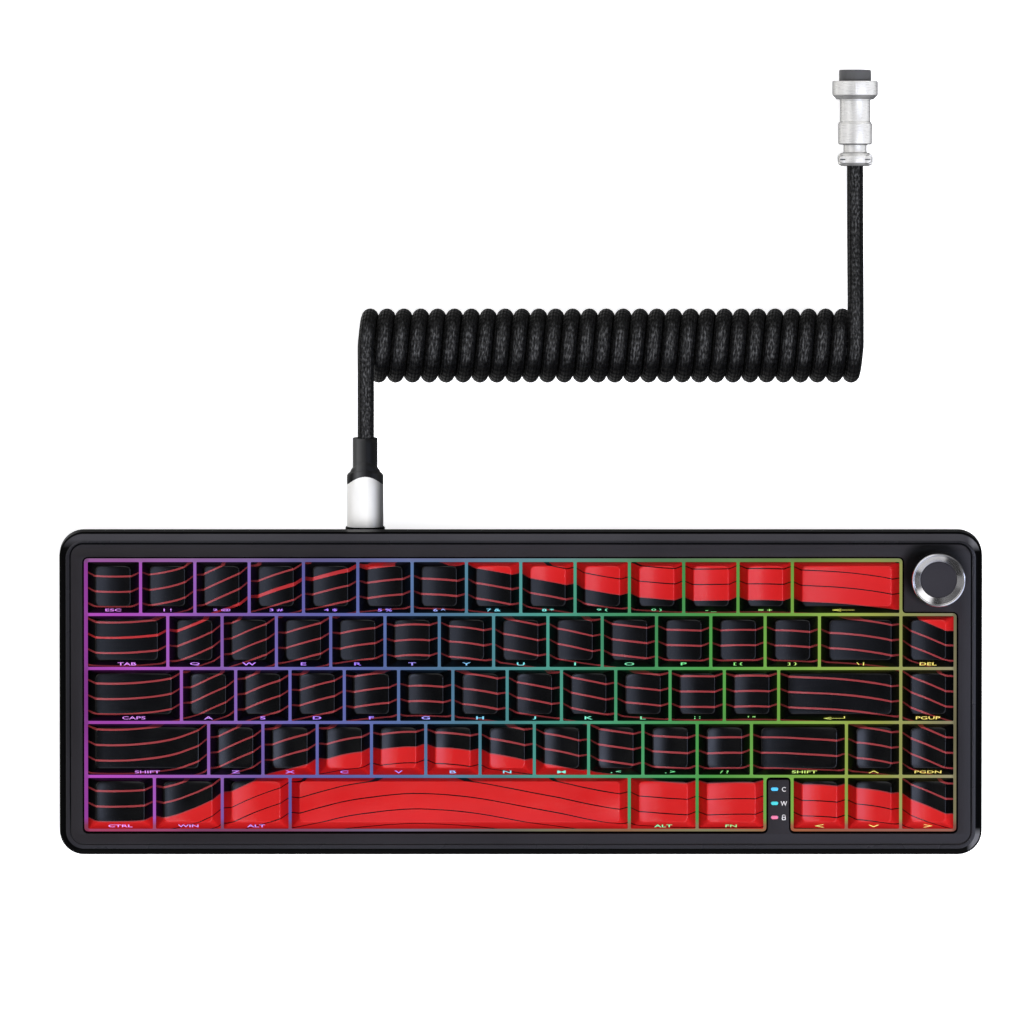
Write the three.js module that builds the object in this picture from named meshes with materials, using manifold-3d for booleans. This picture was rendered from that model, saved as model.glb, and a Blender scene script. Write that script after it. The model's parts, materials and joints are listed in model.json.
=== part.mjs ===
// A 66-key mechanical keyboard with a rotary knob and a coiled, detachable cable.
// Units are millimetres, +Z is up and +Y points away from the typist.
// The origin lies on the desk under the middle of the case.
//
// The key deck slopes up towards the back, so everything built square to it sits in one
// turned group, the deck frame: x along the rows, y up the slope, z out of the deck,
// with its origin at the middle of the key field on the top face of the switch plate.
import * as THREE from "three";
import { mergeVertices } from "three/addons/utils/BufferGeometryUtils.js";
import Module from "manifold-3d";

const wasm = await Module();
wasm.setup();

// ---- Driving dimensions -------------------------------------------------------------

const PITCH = 19.05; // one key unit, the spacing of all such keyboards
const DECK_SLOPE = THREE.MathUtils.degToRad(6);
const DECK_HEIGHT = 22; // desk to the deck's origin
const DECK_BACK = -0.63; // centres the sloping case on the origin
const GAP = 0.3; // air left between neighbouring solids

const CASE = { width: 323.4, depth: 114.3, corner: 8.5, wall: 3, back: 0.75 };
const BEZEL_TOP = 7.5; // above the plate
const BEZEL_THICK = 2.5;
const EDGE_BEVEL = { across: 1.8, down: 1.6 };
const GROOVE = { inset: 3.7, width: 0.6, depth: 0.5 };
const SPLIT = -4; // deck height of the seam between the two case halves
const CASE_FOOT = 2; // desk to the case's underside
const FLOOR_THICK = 2.5;
const REAR_WALL = 57.1; // the lower case's back is upright, this far behind the origin

const FIELD = { units: 16, rows: 5 };
const OPENING_MARGIN = 0.5; // bezel edge to the key field
const KNOB_UNITS = 1; // the knob takes the end of the first row
const TONGUE = { start: 12.5, units: 0.5 }; // indicator strip in the last row

const PLATE_THICK = 1.5;
const BOARD_DROP = 5; // plate top to circuit board top
const BOARD_THICK = 1.6;
const KEY_TRAVEL = 4;

const KEYCAP = {
  gap: 1.05, // between neighbouring skirts
  skirt: 6, // plate to skirt at rest
  side: 2.85, // how far the top is drawn in on each side
  front: 3.2,
  rear: 0.5,
  wall: 1.2,
  corner: 1.2,
};
const SWITCH = { flange: 15.6, body: 13.8, top: 10.4, height: 6.2, hole: 7, stem: 6.2 };
const STEM_REACH = 1.8; // below the skirt
const STABILISER = { width: 7.4, depth: 9, height: 4.4, hole: 4.8, stem: 4 };

// Height is at the middle of the keycap's top, and slope is how steeply it rises to the back.
// Keys in one string share a body; the number after a colon is a width in key units.
const ROWS = [
  { height: 9.4, slope: 5, keys: ["esc", "1 2 3", "4 5 6", "7 8 9", "0 minus equals", "backspace:2"] },
  {
    height: 8.4,
    slope: 3,
    keys: ["tab:1.5", "q w", "e r", "t y", "u i", "o p", "lbracket rbracket", "backslash:1.5", "delete"],
  },
  {
    height: 7.8,
    slope: 0,
    keys: ["caps:1.75", "a s", "d f", "g h", "j k", "l semicolon quote", "enter:2.25", "page_up"],
  },
  {
    height: 8.0,
    slope: -4,
    keys: ["lshift:2.25", "z x c", "v b", "n m", "comma period slash", "rshift:1.75", "up", "page_down"],
  },
  {
    height: 8.2,
    slope: -4,
    keys: [
      ...["ctrl:1.25", "win:1.25", "lalt:1.25", "space:6.25", "ralt:1.25", "fn:1.25"],
      ...["-:0.5", "left", "down", "right"],
    ],
  },
];
const STABILISER_SPREAD = { 2: 23.9, 2.25: 23.9, 6.25: 100 }; // by key width in units

const KNOB = { x: 146.4, y: 42, radius: 9.45, bottom: 8.7, height: 11, hole: 4.8 };
const ENCODER = { width: 12, body: 6.4, bush: 3.6, bore: 2.5, shaft: 2.15, travel: 0.5 };
const LIGHTS = { x: 89.1, y: [-33, -38, -43], length: 2.7, width: 1.4, guide: 4.4 };

const FOOT = { x: 118, pivot: 24, length: 22, width: 34, thick: 4, pin: 1.2, lift: 4.6 };
const PAD = { length: 210, width: 7, thick: 1.8, front: -47, rear: 52 };

const PORT = { x: -54.4, z: -11, width: 8.2, height: 2.3, depth: 6.2 };
const BARREL = { width: 12.8, height: 9.4, length: 16.4 };
const SLEEVE = { collar: 3.4, radius: 4.4, length: 11.4 };

const CORD = { diameter: 5.6, sides: 8 };
const COIL = { radius: 10.2, turns: 29, pitch: 5.92, back: 121.6 };
const AVIATOR = { start: 184.8, axis: 8.3 };

// ---- Solids -------------------------------------------------------------------------

function solid(geometry) {
  const loose = geometry.index ? geometry.toNonIndexed() : geometry;
  const bare = new THREE.BufferGeometry().setAttribute("position", loose.getAttribute("position"));
  const merged = mergeVertices(bare, 1e-4);
  return new wasm.Manifold(
    new wasm.Mesh({
      numProp: 3,
      vertProperties: merged.attributes.position.array,
      triVerts: new Uint32Array(merged.index.array),
    }),
  );
}

function geometryOf(manifold) {
  const mesh = manifold.getMesh();
  return new THREE.BufferGeometry()
    .setAttribute("position", new THREE.BufferAttribute(mesh.vertProperties, 3))
    .setIndex(new THREE.BufferAttribute(mesh.triVerts, 1));
}

const joined = (solids) => solids.reduce((sum, next) => sum.add(next));
const without = (body, cutters) => cutters.reduce((left, next) => left.subtract(next), body);

function block(x0, x1, y0, y1, z0, z1) {
  const box = new THREE.BoxGeometry(x1 - x0, y1 - y0, z1 - z0);
  return solid(box.translate((x0 + x1) / 2, (y0 + y1) / 2, (z0 + z1) / 2));
}

function squareBar(size, z0, z1) {
  return block(-size / 2, size / 2, -size / 2, size / 2, z0, z1);
}

function prism(shape, z0, z1, curveSegments = 4) {
  const cut = new THREE.ExtrudeGeometry(shape, { depth: z1 - z0, bevelEnabled: false, curveSegments });
  return solid(cut.translate(0, 0, z0));
}

// A cylinder between two heights, its axis along "x", "y" or "z".
function rod(radius, from, to, axis = "z", sides = 16) {
  const cylinder = new THREE.CylinderGeometry(radius, radius, to - from, sides);
  cylinder.translate(0, (from + to) / 2, 0);
  if (axis === "z") cylinder.rotateX(Math.PI / 2);
  if (axis === "x") cylinder.rotateZ(-Math.PI / 2);
  return solid(cylinder);
}

// A body of revolution about Z from [radius, height] pairs that start and end on the axis.
function turned(profile, sides = 24) {
  const points = profile.map(([r, z]) => new THREE.Vector2(r, z));
  return solid(new THREE.LatheGeometry(points, sides).rotateX(Math.PI / 2));
}

function roundedRect(x0, x1, y0, y1, radius) {
  const shape = new THREE.Shape();
  shape.absarc(x1 - radius, y1 - radius, radius, 0, Math.PI / 2);
  shape.absarc(x0 + radius, y1 - radius, radius, Math.PI / 2, Math.PI);
  shape.absarc(x0 + radius, y0 + radius, radius, Math.PI, 1.5 * Math.PI);
  shape.absarc(x1 - radius, y0 + radius, radius, 1.5 * Math.PI, 2 * Math.PI);
  return shape;
}

// Joins rings of equally many points, each anticlockwise from above, into a closed body.
function loft(rings) {
  const n = rings[0].length;
  const faces = [];
  for (let i = 1; i < n - 1; i++) {
    faces.push(0, i + 1, i);
    const top = (rings.length - 1) * n;
    faces.push(top, top + i, top + i + 1);
  }
  for (let k = 0; k < rings.length - 1; k++)
    for (let i = 0; i < n; i++) {
      const [a, b] = [k * n + i, k * n + ((i + 1) % n)];
      faces.push(a, b, b + n, a, b + n, a + n);
    }
  const positions = new THREE.Float32BufferAttribute(rings.flat().flatMap((point) => point.toArray()), 3);
  return solid(new THREE.BufferGeometry().setAttribute("position", positions).setIndex(faces));
}

// A ring round a rectangle with cut corners, at a height that may depend on y.
function ringOf(x0, x1, y0, y1, cut, height) {
  const corners = cut
    ? [
        [x1 - cut, y0],
        [x1, y0 + cut],
        [x1, y1 - cut],
        [x1 - cut, y1],
        [x0 + cut, y1],
        [x0, y1 - cut],
        [x0, y0 + cut],
        [x0 + cut, y0],
      ]
    : [
        [x1, y0],
        [x1, y1],
        [x0, y1],
        [x0, y0],
      ];
  return corners.map(([x, y]) => new THREE.Vector3(x, y, height(y)));
}

const level = (z) => () => z;

// ---- The key layout -----------------------------------------------------------------

const LEFT = (-FIELD.units * PITCH) / 2;
const TOP = (FIELD.rows * PITCH) / 2;

// Every group of keys, with the deck position of each key's middle.
function layout() {
  const groups = [];
  ROWS.forEach((row, r) => {
    let at = LEFT;
    for (const text of row.keys) {
      const keys = text.split(" ").map((word) => {
        const [name, units = "1"] = word.split(":");
        const width = Number(units) * PITCH;
        at += width;
        return { name, units: Number(units), x: at - width / 2, y: TOP - (r + 0.5) * PITCH };
      });
      if (keys[0].name !== "-") groups.push({ row, keys });
    }
  });
  return groups;
}
const GROUPS = layout();
const ALL_KEYS = GROUPS.flatMap((group) => group.keys);

// Where the switch, and any stabilisers, of one key stand.
function stations(key) {
  const spread = STABILISER_SPREAD[key.units];
  return { switchAt: key.x, stabilisersAt: spread ? [key.x - spread / 2, key.x + spread / 2] : [] };
}

// ---- Keycaps, each with the switch stem that it sits on -----------------------------

function keycap(row, key) {
  const half = (key.units * PITCH - KEYCAP.gap) / 2;
  const deep = (PITCH - KEYCAP.gap) / 2;
  const topMiddle = (KEYCAP.front - KEYCAP.rear) / 2;
  const rise = Math.tan(THREE.MathUtils.degToRad(row.slope));
  const roof = (y) => row.height + (y - topMiddle) * rise;
  const topHalf = half - KEYCAP.side;
  const [topFront, topRear] = [-deep + KEYCAP.front, deep - KEYCAP.rear];
  const outside = loft([
    ringOf(-half, half, -deep, deep, KEYCAP.corner, level(0)),
    ringOf(-topHalf, topHalf, topFront, topRear, KEYCAP.corner, roof),
  ]);
  const w = KEYCAP.wall;
  const lowRoof = Math.min(roof(topFront), roof(topRear));
  const inside = loft([
    ringOf(-half + w, half - w, -deep + w, deep - w, 0, level(-1)),
    ringOf(-topHalf + w, topHalf - w, topFront + w, topRear - w, 0, level(lowRoof - w)),
  ]);
  const post = (x, size) => squareBar(size, -STEM_REACH, lowRoof - w + 0.5).translate(x, 0, 0);
  const { switchAt, stabilisersAt } = stations(key);
  const cap = joined([
    outside.subtract(inside),
    post(switchAt - key.x, SWITCH.stem),
    ...stabilisersAt.map((x) => post(x - key.x, STABILISER.stem)),
  ]);
  return cap.translate(key.x, key.y, KEYCAP.skirt);
}

// Neighbours that share a body are tied by a thin web at the foot of their skirts.
function web(left, right) {
  const x = (left.x + left.units * PITCH * 0.5 + right.x - right.units * PITCH * 0.5) / 2;
  const reach = KEYCAP.gap / 2 + KEYCAP.wall / 2;
  return block(x - reach, x + reach, left.y - 2, left.y + 2, KEYCAP.skirt + 0.1, KEYCAP.skirt + 0.9);
}

function keycapGroup({ row, keys }) {
  const ties = keys.slice(1).map((key, i) => web(keys[i], key));
  return joined([...keys.map((key) => keycap(row, key)), ...ties]);
}

// ---- Plate and circuit board --------------------------------------------------------

const PLATE_EDGE = 2.4; // past the key field
const PLATE = [LEFT - PLATE_EDGE, -LEFT + PLATE_EDGE, -TOP - PLATE_EDGE, TOP + PLATE_EDGE];

function switchPlate() {
  const hole = (x, y, w, d) => block(x - w / 2, x + w / 2, y - d / 2, y + d / 2, -PLATE_THICK - 1, 1);
  const shank = SWITCH.body + 2 * GAP;
  const [foot, footDeep] = [STABILISER.width - 1.2 + 2 * GAP, STABILISER.depth - 1.2 + 2 * GAP];
  return without(prism(roundedRect(...PLATE, 2), -PLATE_THICK, 0), [
    ...ALL_KEYS.map((key) => hole(stations(key).switchAt, key.y, shank, shank)),
    ...ALL_KEYS.flatMap((key) => stations(key).stabilisersAt.map((x) => hole(x, key.y, foot, footDeep))),
    hole(KNOB.x, KNOB.y, ENCODER.width + 1.2, ENCODER.width + 1.2),
  ]);
}

// A switch body: a square shank through the plate, a flange on it and a tapering upper half.
function switchBody(key) {
  const square = (size, z) => ringOf(-size / 2, size / 2, -size / 2, size / 2, 0, level(z));
  const { flange, top, height } = SWITCH;
  const upper = loft([square(flange, GAP), square(flange - 0.6, 1.2), square(top, height)]);
  const shank = squareBar(SWITCH.body, -BOARD_DROP - 0.2, 0.6);
  const well = squareBar(SWITCH.hole, -0.6, height + 1);
  return upper.add(shank).subtract(well).translate(stations(key).switchAt, key.y, 0);
}

function stabiliserBody(x, y) {
  const { width, depth, height, hole } = STABILISER;
  const box = (w, d, z0, z1) => block(-w / 2, w / 2, -d / 2, d / 2, z0, z1);
  const body = box(width, depth, GAP, height).add(box(width - 1.2, depth - 1.2, -BOARD_DROP - 0.2, 0.6));
  return body.subtract(squareBar(hole, -0.6, height + 1)).translate(x, y, 0);
}

function circuitBoard() {
  const slab = prism(roundedRect(...PLATE, 2), -BOARD_DROP - BOARD_THICK, -BOARD_DROP);
  const stabilisersOf = (key) => stations(key).stabilisersAt.map((x) => stabiliserBody(x, key.y));
  const stabilisers = ALL_KEYS.flatMap(stabilisersOf);
  return joined([slab, ...ALL_KEYS.map(switchBody), ...stabilisers]);
}

// ---- Case ---------------------------------------------------------------------------

const outline = (inset, corner) =>
  roundedRect(
    -CASE.width / 2 + inset,
    CASE.width / 2 - inset,
    CASE.back - CASE.depth / 2 + inset,
    CASE.back + CASE.depth / 2 - inset,
    corner,
  );
const REAR_FACE = CASE.back + CASE.depth / 2;

// The window for the keys: the key field less the knob's corner and the indicator tongue.
function openingShape() {
  const m = OPENING_MARGIN;
  const right = -LEFT + m;
  const knobSide = -LEFT - KNOB_UNITS * PITCH + m;
  const tongue = [LEFT + TONGUE.start * PITCH + m, LEFT + (TONGUE.start + TONGUE.units) * PITCH - m];
  const points = [
    [LEFT - m, -TOP - m],
    [tongue[0], -TOP - m],
    [tongue[0], -TOP + PITCH - m],
    [tongue[1], -TOP + PITCH - m],
    [tongue[1], -TOP - m],
    [right, -TOP - m],
    [right, TOP - PITCH + m],
    [knobSide, TOP - PITCH + m],
    [knobSide, TOP + m],
    [LEFT - m, TOP + m],
  ];
  return new THREE.Shape(points.map(([x, y]) => new THREE.Vector2(x, y)));
}

function lightShape(y, grow) {
  const [l, w] = [LIGHTS.length / 2 + grow, LIGHTS.width / 2 + grow];
  return roundedRect(LIGHTS.x - l, LIGHTS.x + l, y - w, y + w, w - 0.01);
}

// Everything in the deck frame that lies below a level height above the desk.
function belowLevel(height) {
  const half = 400;
  const box = new THREE.BoxGeometry(half, half, half).translate(0, 0, height - half / 2);
  box.translate(0, -DECK_BACK, -DECK_HEIGHT).rotateX(-DECK_SLOPE);
  return solid(box);
}

function topCase() {
  const { across, down } = EDGE_BEVEL;
  const blank = new THREE.ExtrudeGeometry(outline(0, CASE.corner), {
    depth: 30,
    bevelThickness: down,
    bevelSize: across,
    bevelOffset: -across,
    bevelSegments: 2,
    curveSegments: 5,
  });
  const shell = solid(blank.translate(0, 0, BEZEL_TOP - down - 30));
  const lips = [GROOVE.inset, GROOVE.inset + GROOVE.width].map((inset) =>
    prism(outline(inset, CASE.corner - inset), BEZEL_TOP - GROOVE.depth, BEZEL_TOP + 1),
  );
  const cavity = prism(outline(CASE.wall, CASE.corner - CASE.wall), -40, BEZEL_TOP - BEZEL_THICK);
  return without(shell, [
    block(-400, 400, -400, 400, -60, SPLIT + GAP / 2),
    cavity,
    prism(openingShape(), -10, 20),
    lips[0].subtract(lips[1]),
    rod(KNOB.hole, 0, 20).translate(KNOB.x, KNOB.y, 0),
    ...LIGHTS.y.map((y) => prism(lightShape(y, 0), 0, 20, 3)),
  ]);
}

// The lower case's outline or, further in, its cavity: square to the deck but upright at the back.
function tub(inset, floor, rim) {
  const corner = CASE.corner - inset;
  const side = CASE.width / 2 - inset;
  const upright = prism(roundedRect(-side, side, -CASE.depth, REAR_WALL - inset, corner), -20, 80, 5);
  return prism(outline(inset, corner), -40, rim, 5).intersect(intoDeck(upright)).subtract(belowLevel(floor));
}

function bottomCase() {
  const shell = tub(0.4, CASE_FOOT, SPLIT - GAP / 2);
  const cavity = tub(CASE.wall, CASE_FOOT + FLOOR_THICK, 0);
  const wells = [-1, 1].map((side) => footWell(side).intersect(shell));
  const pockets = [-1, 1].flatMap((side) => [footPocket(side), footPin(side, FOOT.pin + GAP, 2.4)]);
  const [halfWide, halfHigh] = [PORT.width / 2 + 1.3, PORT.height / 2 + 1.3];
  const port = block(-halfWide, halfWide, REAR_FACE - 20, REAR_FACE + 5, -halfHigh, halfHigh);
  return without(shell.subtract(cavity).add(joined(wells)), [...pockets, port.translate(PORT.x, 0, PORT.z)]);
}

// ---- Flip-out feet and pads, built level and then turned into the deck frame --------

function intoDeck(body) {
  return body.translate(0, -DECK_BACK, -DECK_HEIGHT).rotate([-THREE.MathUtils.radToDeg(DECK_SLOPE), 0, 0]);
}

// A box over one foot, with room on every side, between two heights above the desk.
function footBox(side, room, low, high) {
  const half = FOOT.width / 2 + room;
  const [front, rear] = [FOOT.pivot - 2.9 - room, FOOT.pivot + FOOT.length + 0.3 + room];
  return intoDeck(block(side * FOOT.x - half, side * FOOT.x + half, front, rear, low, high));
}

const FOOT_CEILING = FOOT.lift + FOOT.thick / 2 + 0.6;
const footPocket = (side) => footBox(side, 0.5, -5, FOOT_CEILING);
const footWell = (side) => footBox(side, 3.5, CASE_FOOT, FOOT_CEILING + 1.6);

function footPin(side, radius, past) {
  const half = FOOT.width / 2 + past;
  return intoDeck(rod(radius, -half, half, "x", 12).translate(side * FOOT.x, FOOT.pivot, FOOT.lift));
}

// A foot lies folded with its tip to the back; its pivot end is round.
function foldingFoot(side) {
  const r = FOOT.thick / 2;
  const profile = new THREE.Shape();
  profile.absarc(0, 0, r, Math.PI / 2, 1.5 * Math.PI);
  profile.lineTo(FOOT.length - 2, -r);
  profile.lineTo(FOOT.length, -r + 1.4);
  profile.lineTo(FOOT.length, r);
  const leaf = prism(profile, -FOOT.width / 2, FOOT.width / 2, 6).rotate([90, 0, 90]);
  return intoDeck(leaf.translate(side * FOOT.x, FOOT.pivot, FOOT.lift)).add(footPin(side, FOOT.pin, 1.6));
}

function rubberPad(y) {
  const [halfLong, halfWide] = [PAD.length / 2, PAD.width / 2];
  return prism(roundedRect(-halfLong, halfLong, y - halfWide, y + halfWide, 3), 0, PAD.thick);
}

// ---- Knob, encoder, lights and socket -----------------------------------------------

function encoderBody() {
  const half = ENCODER.width / 2;
  const base = -BOARD_DROP + GAP;
  const box = block(-half, half, -half, half, base, base + ENCODER.body);
  const bush = rod(ENCODER.bush, 0, BEZEL_TOP - 0.5);
  const bore = rod(ENCODER.bore, base + 1, 30);
  return box.add(bush).subtract(bore).translate(KNOB.x, KNOB.y, 0);
}

const PLUNGER = { bottom: -3, height: 1.6, radius: 2 };

function encoderPlunger() {
  const { radius, bottom, height } = PLUNGER;
  return rod(radius, bottom, bottom + height, "z", 12).translate(KNOB.x, KNOB.y, 0);
}

// The knob and the shaft pressed into it: a bevelled rim round a sunken top.
function knob() {
  const { radius, bottom, height } = KNOB;
  const top = bottom + height;
  const cap = turned(
    [
      [0, bottom],
      [radius - 0.5, bottom],
      [radius, bottom + 0.5],
      [radius, top - 1],
      [radius - 0.6, top - 0.1],
      [radius - 2, top - 0.5],
      [radius - 2.1, top - 0.9],
      [0, top - 0.9],
    ],
    32,
  );
  const shaft = rod(ENCODER.shaft, PLUNGER.bottom + PLUNGER.height + GAP, bottom + 2, "z", 12);
  return cap.add(shaft).translate(KNOB.x, KNOB.y, 0);
}

// Three light windows on one bar under the indicator tongue.
function lightGuide() {
  const { x, y, guide } = LIGHTS;
  const bar = block(x - 2, x + 2, y[2] - 2, y[0] + 2, guide - 1.4, guide);
  const posts = y.map((at) => prism(lightShape(at, -0.15), guide - 0.5, BEZEL_TOP - 0.1, 3));
  return joined([bar, ...posts]);
}

// The socket on its small board: an open metal mouth facing the back.
function usbSocket() {
  const { x, z, width, height, depth } = PORT;
  const box = (grow, y0, y1) =>
    block(-width / 2 - grow, width / 2 + grow, y0, y1, -height / 2 - grow, height / 2 + grow);
  const face = BARREL_START - CASE.wall - 2 * GAP;
  const shell = box(1, face - depth - 1.4, face).subtract(box(GAP, face - depth - 0.4, face + 1));
  const board = block(-11, 11, face - 14, face - 1, -height / 2 - 2.4, -height / 2 - 0.9);
  return shell.add(board).translate(x, 0, z);
}

// ---- Cable --------------------------------------------------------------------------

// A rounded bar along the deck's y, for the plug's barrel and collar.
function barrel(width, height, from, to) {
  const section = roundedRect(-width / 2, width / 2, -height / 2, height / 2, height / 2 - 0.01);
  const bar = new THREE.ExtrudeGeometry(section, { depth: to - from, bevelEnabled: false, curveSegments: 6 });
  return solid(bar.rotateX(-Math.PI / 2).translate(0, from, 0)).translate(PORT.x, 0, PORT.z);
}

const NEAREST = fromDeck(PORT.x, 0, PORT.z + BARREL.height / 2).y;
const BARREL_START = (REAR_WALL + GAP - NEAREST) / Math.cos(DECK_SLOPE);
const COLLAR_START = BARREL_START + BARREL.length + GAP;
const SLEEVE_END = COLLAR_START + SLEEVE.collar + SLEEVE.length;

function usbPlug() {
  const { x, z, width, height } = PORT;
  const mouth = BARREL_START - CASE.wall - 2 * GAP - PORT.depth;
  const nose = block(-width / 2, width / 2, mouth, BARREL_START + 1, -height / 2, height / 2);
  const grip = barrel(BARREL.width, BARREL.height, BARREL_START, BARREL_START + BARREL.length);
  return grip.add(nose.translate(x, 0, z));
}

function strainRelief() {
  const collar = barrel(BARREL.width, BARREL.height, COLLAR_START, COLLAR_START + SLEEVE.collar);
  const sleeve = rod(SLEEVE.radius, COLLAR_START + 1, SLEEVE_END, "y", 16).translate(PORT.x, 0, PORT.z);
  return collar.add(sleeve);
}

// A deck-frame point in the part's own frame.
function fromDeck(x, y, z) {
  const point = new THREE.Vector3(x, y, z).applyAxisAngle(new THREE.Vector3(1, 0, 0), DECK_SLOPE);
  return point.add(new THREE.Vector3(0, DECK_BACK, DECK_HEIGHT));
}

const COIL_OUTER = COIL.radius + CORD.diameter / 2;
const COIL_END = PORT.x + COIL.turns * COIL.pitch;
const CROWN = COIL_OUTER + COIL.radius; // height at which the cord runs on and off the coil
const CROWN_REACH = 12.3; // where the straight cord clears the coil's round flank

function tube(points) {
  const path = new THREE.CatmullRomCurve3(points);
  const section = new THREE.Shape();
  section.absarc(0, 0, CORD.diameter / 2, 0, 2 * Math.PI);
  const steps = Math.max(3, Math.round(path.getLength() / (2.5 * CORD.diameter)));
  const settings = { steps, extrudePath: path, bevelEnabled: false, curveSegments: CORD.sides };
  return solid(new THREE.ExtrudeGeometry(section, settings));
}

// From the sleeve, rising to the level of the coil's crown.
function cableLead() {
  return tube([
    fromDeck(PORT.x, SLEEVE_END + GAP, PORT.z),
    fromDeck(PORT.x, SLEEVE_END + 8, PORT.z),
    new THREE.Vector3(PORT.x, COIL.back - CROWN_REACH, CROWN - 0.5),
  ]);
}

function cableCoil() {
  const half = CORD.diameter / 2;
  return rod(COIL_OUTER, PORT.x - half, COIL_END + half, "x", 24).translate(0, COIL.back, COIL_OUTER);
}

// From the coil's crown down to the connector lying on the desk.
function cableTail() {
  const x = COIL_END;
  const connector = AVIATOR.start;
  return tube([
    new THREE.Vector3(x, COIL.back + CROWN_REACH, CROWN - 0.6),
    new THREE.Vector3(x, COIL.back + 26, CROWN - 6),
    new THREE.Vector3(x, connector - 21, AVIATOR.axis + 2.4),
    new THREE.Vector3(x, connector - 8, AVIATOR.axis + 0.2),
    new THREE.Vector3(x, connector - GAP, AVIATOR.axis),
  ]);
}

// Round connector parts are turned about Z and laid along Y, starting at the cable.
function alongTail(body) {
  return body.rotate([-90, 0, 0]).translate(COIL_END, AVIATOR.start, AVIATOR.axis);
}

const RING = { from: 23.6, to: 29.6, outer: 8, inner: 6.2 };

function aviatorPlug() {
  return alongTail(
    turned([
      [0, 0],
      [5.2, 0],
      [6.2, 1.2],
      [6.2, 3.4],
      [5, 4.6],
      [4.03, 4.7],
      [4.03, 7.5],
      [5.95, 7.7],
      [5.95, 15],
      [5.3, 15.4],
      [5.3, 23],
      [5.65, 23.3],
      [5.65, 33.3],
      [4.7, 33.3],
      [4.7, 30.2],
      [0, 30.2],
    ]),
  );
}

function aviatorRing() {
  return alongTail(
    turned([
      [RING.inner, RING.from],
      [RING.outer, RING.from + 1.8],
      [RING.outer, RING.to],
      [RING.inner, RING.to],
      [RING.inner, RING.from],
    ]),
  );
}

// ---- Materials and the assembled part -----------------------------------------------

function finish(color, roughness, metalness = 0) {
  return new THREE.MeshStandardMaterial({ color, roughness, metalness });
}
const MATERIALS = {
  case: finish(0x333033, 0.45),
  keycap: finish(0x131214, 0.5),
  plate: finish(0xb9bcc0, 0.4, 0.6),
  board: finish(0x16241c, 0.6),
  lens: finish(0x5fc8e6, 0.3),
  metal: finish(0xc9cacd, 0.22, 1),
  rubber: finish(0x161616, 0.85),
  cord: finish(0x1b1b1c, 0.8),
};

const keyboard = new THREE.Group();
const deck = new THREE.Group();
deck.rotation.x = DECK_SLOPE;
deck.position.set(0, DECK_BACK, DECK_HEIGHT);
keyboard.add(deck);

function place(group, name, body, material) {
  const mesh = new THREE.Mesh(geometryOf(body), material);
  mesh.name = name;
  group.add(mesh);
}

place(deck, "top_case", topCase(), MATERIALS.case);
place(deck, "bottom_case", bottomCase(), MATERIALS.case);
place(deck, "switch_plate", switchPlate(), MATERIALS.plate);
place(deck, "circuit_board_and_switches", circuitBoard(), MATERIALS.board);
place(deck, "usb_socket", usbSocket(), MATERIALS.metal);
place(deck, "indicator_light_guide", lightGuide(), MATERIALS.lens);
place(deck, "rotary_encoder", encoderBody(), MATERIALS.metal);
place(deck, "encoder_plunger", encoderPlunger(), MATERIALS.metal);
place(deck, "volume_knob", knob(), MATERIALS.metal);
place(deck, "flip_foot_left", foldingFoot(-1), MATERIALS.case);
place(deck, "flip_foot_right", foldingFoot(1), MATERIALS.case);
place(keyboard, "front_rubber_pad", rubberPad(PAD.front), MATERIALS.rubber);
place(keyboard, "rear_rubber_pad", rubberPad(PAD.rear), MATERIALS.rubber);

for (const group of GROUPS) {
  const names = group.keys.map((key) => key.name).join("_");
  const prefix = group.keys.length > 1 ? "keycaps_" : "keycap_";
  place(deck, prefix + names, keycapGroup(group), MATERIALS.keycap);
}

place(deck, "usb_plug", usbPlug(), MATERIALS.metal);
place(deck, "cable_strain_relief", strainRelief(), MATERIALS.rubber);
place(keyboard, "cable_lead", cableLead(), MATERIALS.cord);
place(keyboard, "cable_coil", cableCoil(), MATERIALS.cord);
place(keyboard, "cable_tail", cableTail(), MATERIALS.cord);
place(keyboard, "aviator_plug", aviatorPlug(), MATERIALS.metal);
place(keyboard, "aviator_coupling_ring", aviatorRing(), MATERIALS.metal);

export default keyboard;
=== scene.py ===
# The visual model of a 66-key mechanical keyboard with a knob and a coiled cable.
# Shapes are worked out in millimetres, most of them in the deck frame: x along the key
# rows, y up the sloping deck, z out of it, with the plate's top face at z = 0.
import json
from math import atan2, cos, pi, radians, sin, tan

import bmesh
import bpy
from mathutils import Matrix, Vector
from mathutils.geometry import tessellate_polygon


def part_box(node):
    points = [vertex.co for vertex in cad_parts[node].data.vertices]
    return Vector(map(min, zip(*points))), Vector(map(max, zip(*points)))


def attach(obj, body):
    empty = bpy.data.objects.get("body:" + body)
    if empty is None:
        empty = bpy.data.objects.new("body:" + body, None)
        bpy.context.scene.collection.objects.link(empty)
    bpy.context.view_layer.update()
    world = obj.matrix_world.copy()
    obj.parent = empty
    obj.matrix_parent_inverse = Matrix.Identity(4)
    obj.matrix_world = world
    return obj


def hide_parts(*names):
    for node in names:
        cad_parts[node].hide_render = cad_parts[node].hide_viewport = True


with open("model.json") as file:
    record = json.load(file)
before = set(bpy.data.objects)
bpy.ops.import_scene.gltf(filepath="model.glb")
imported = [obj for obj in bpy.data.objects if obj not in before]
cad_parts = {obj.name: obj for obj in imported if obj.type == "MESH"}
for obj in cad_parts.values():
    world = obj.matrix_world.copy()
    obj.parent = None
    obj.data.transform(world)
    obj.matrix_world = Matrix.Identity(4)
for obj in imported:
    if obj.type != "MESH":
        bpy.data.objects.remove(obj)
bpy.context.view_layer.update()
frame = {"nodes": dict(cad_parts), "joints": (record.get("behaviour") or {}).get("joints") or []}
scene = bpy.context.scene

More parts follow.
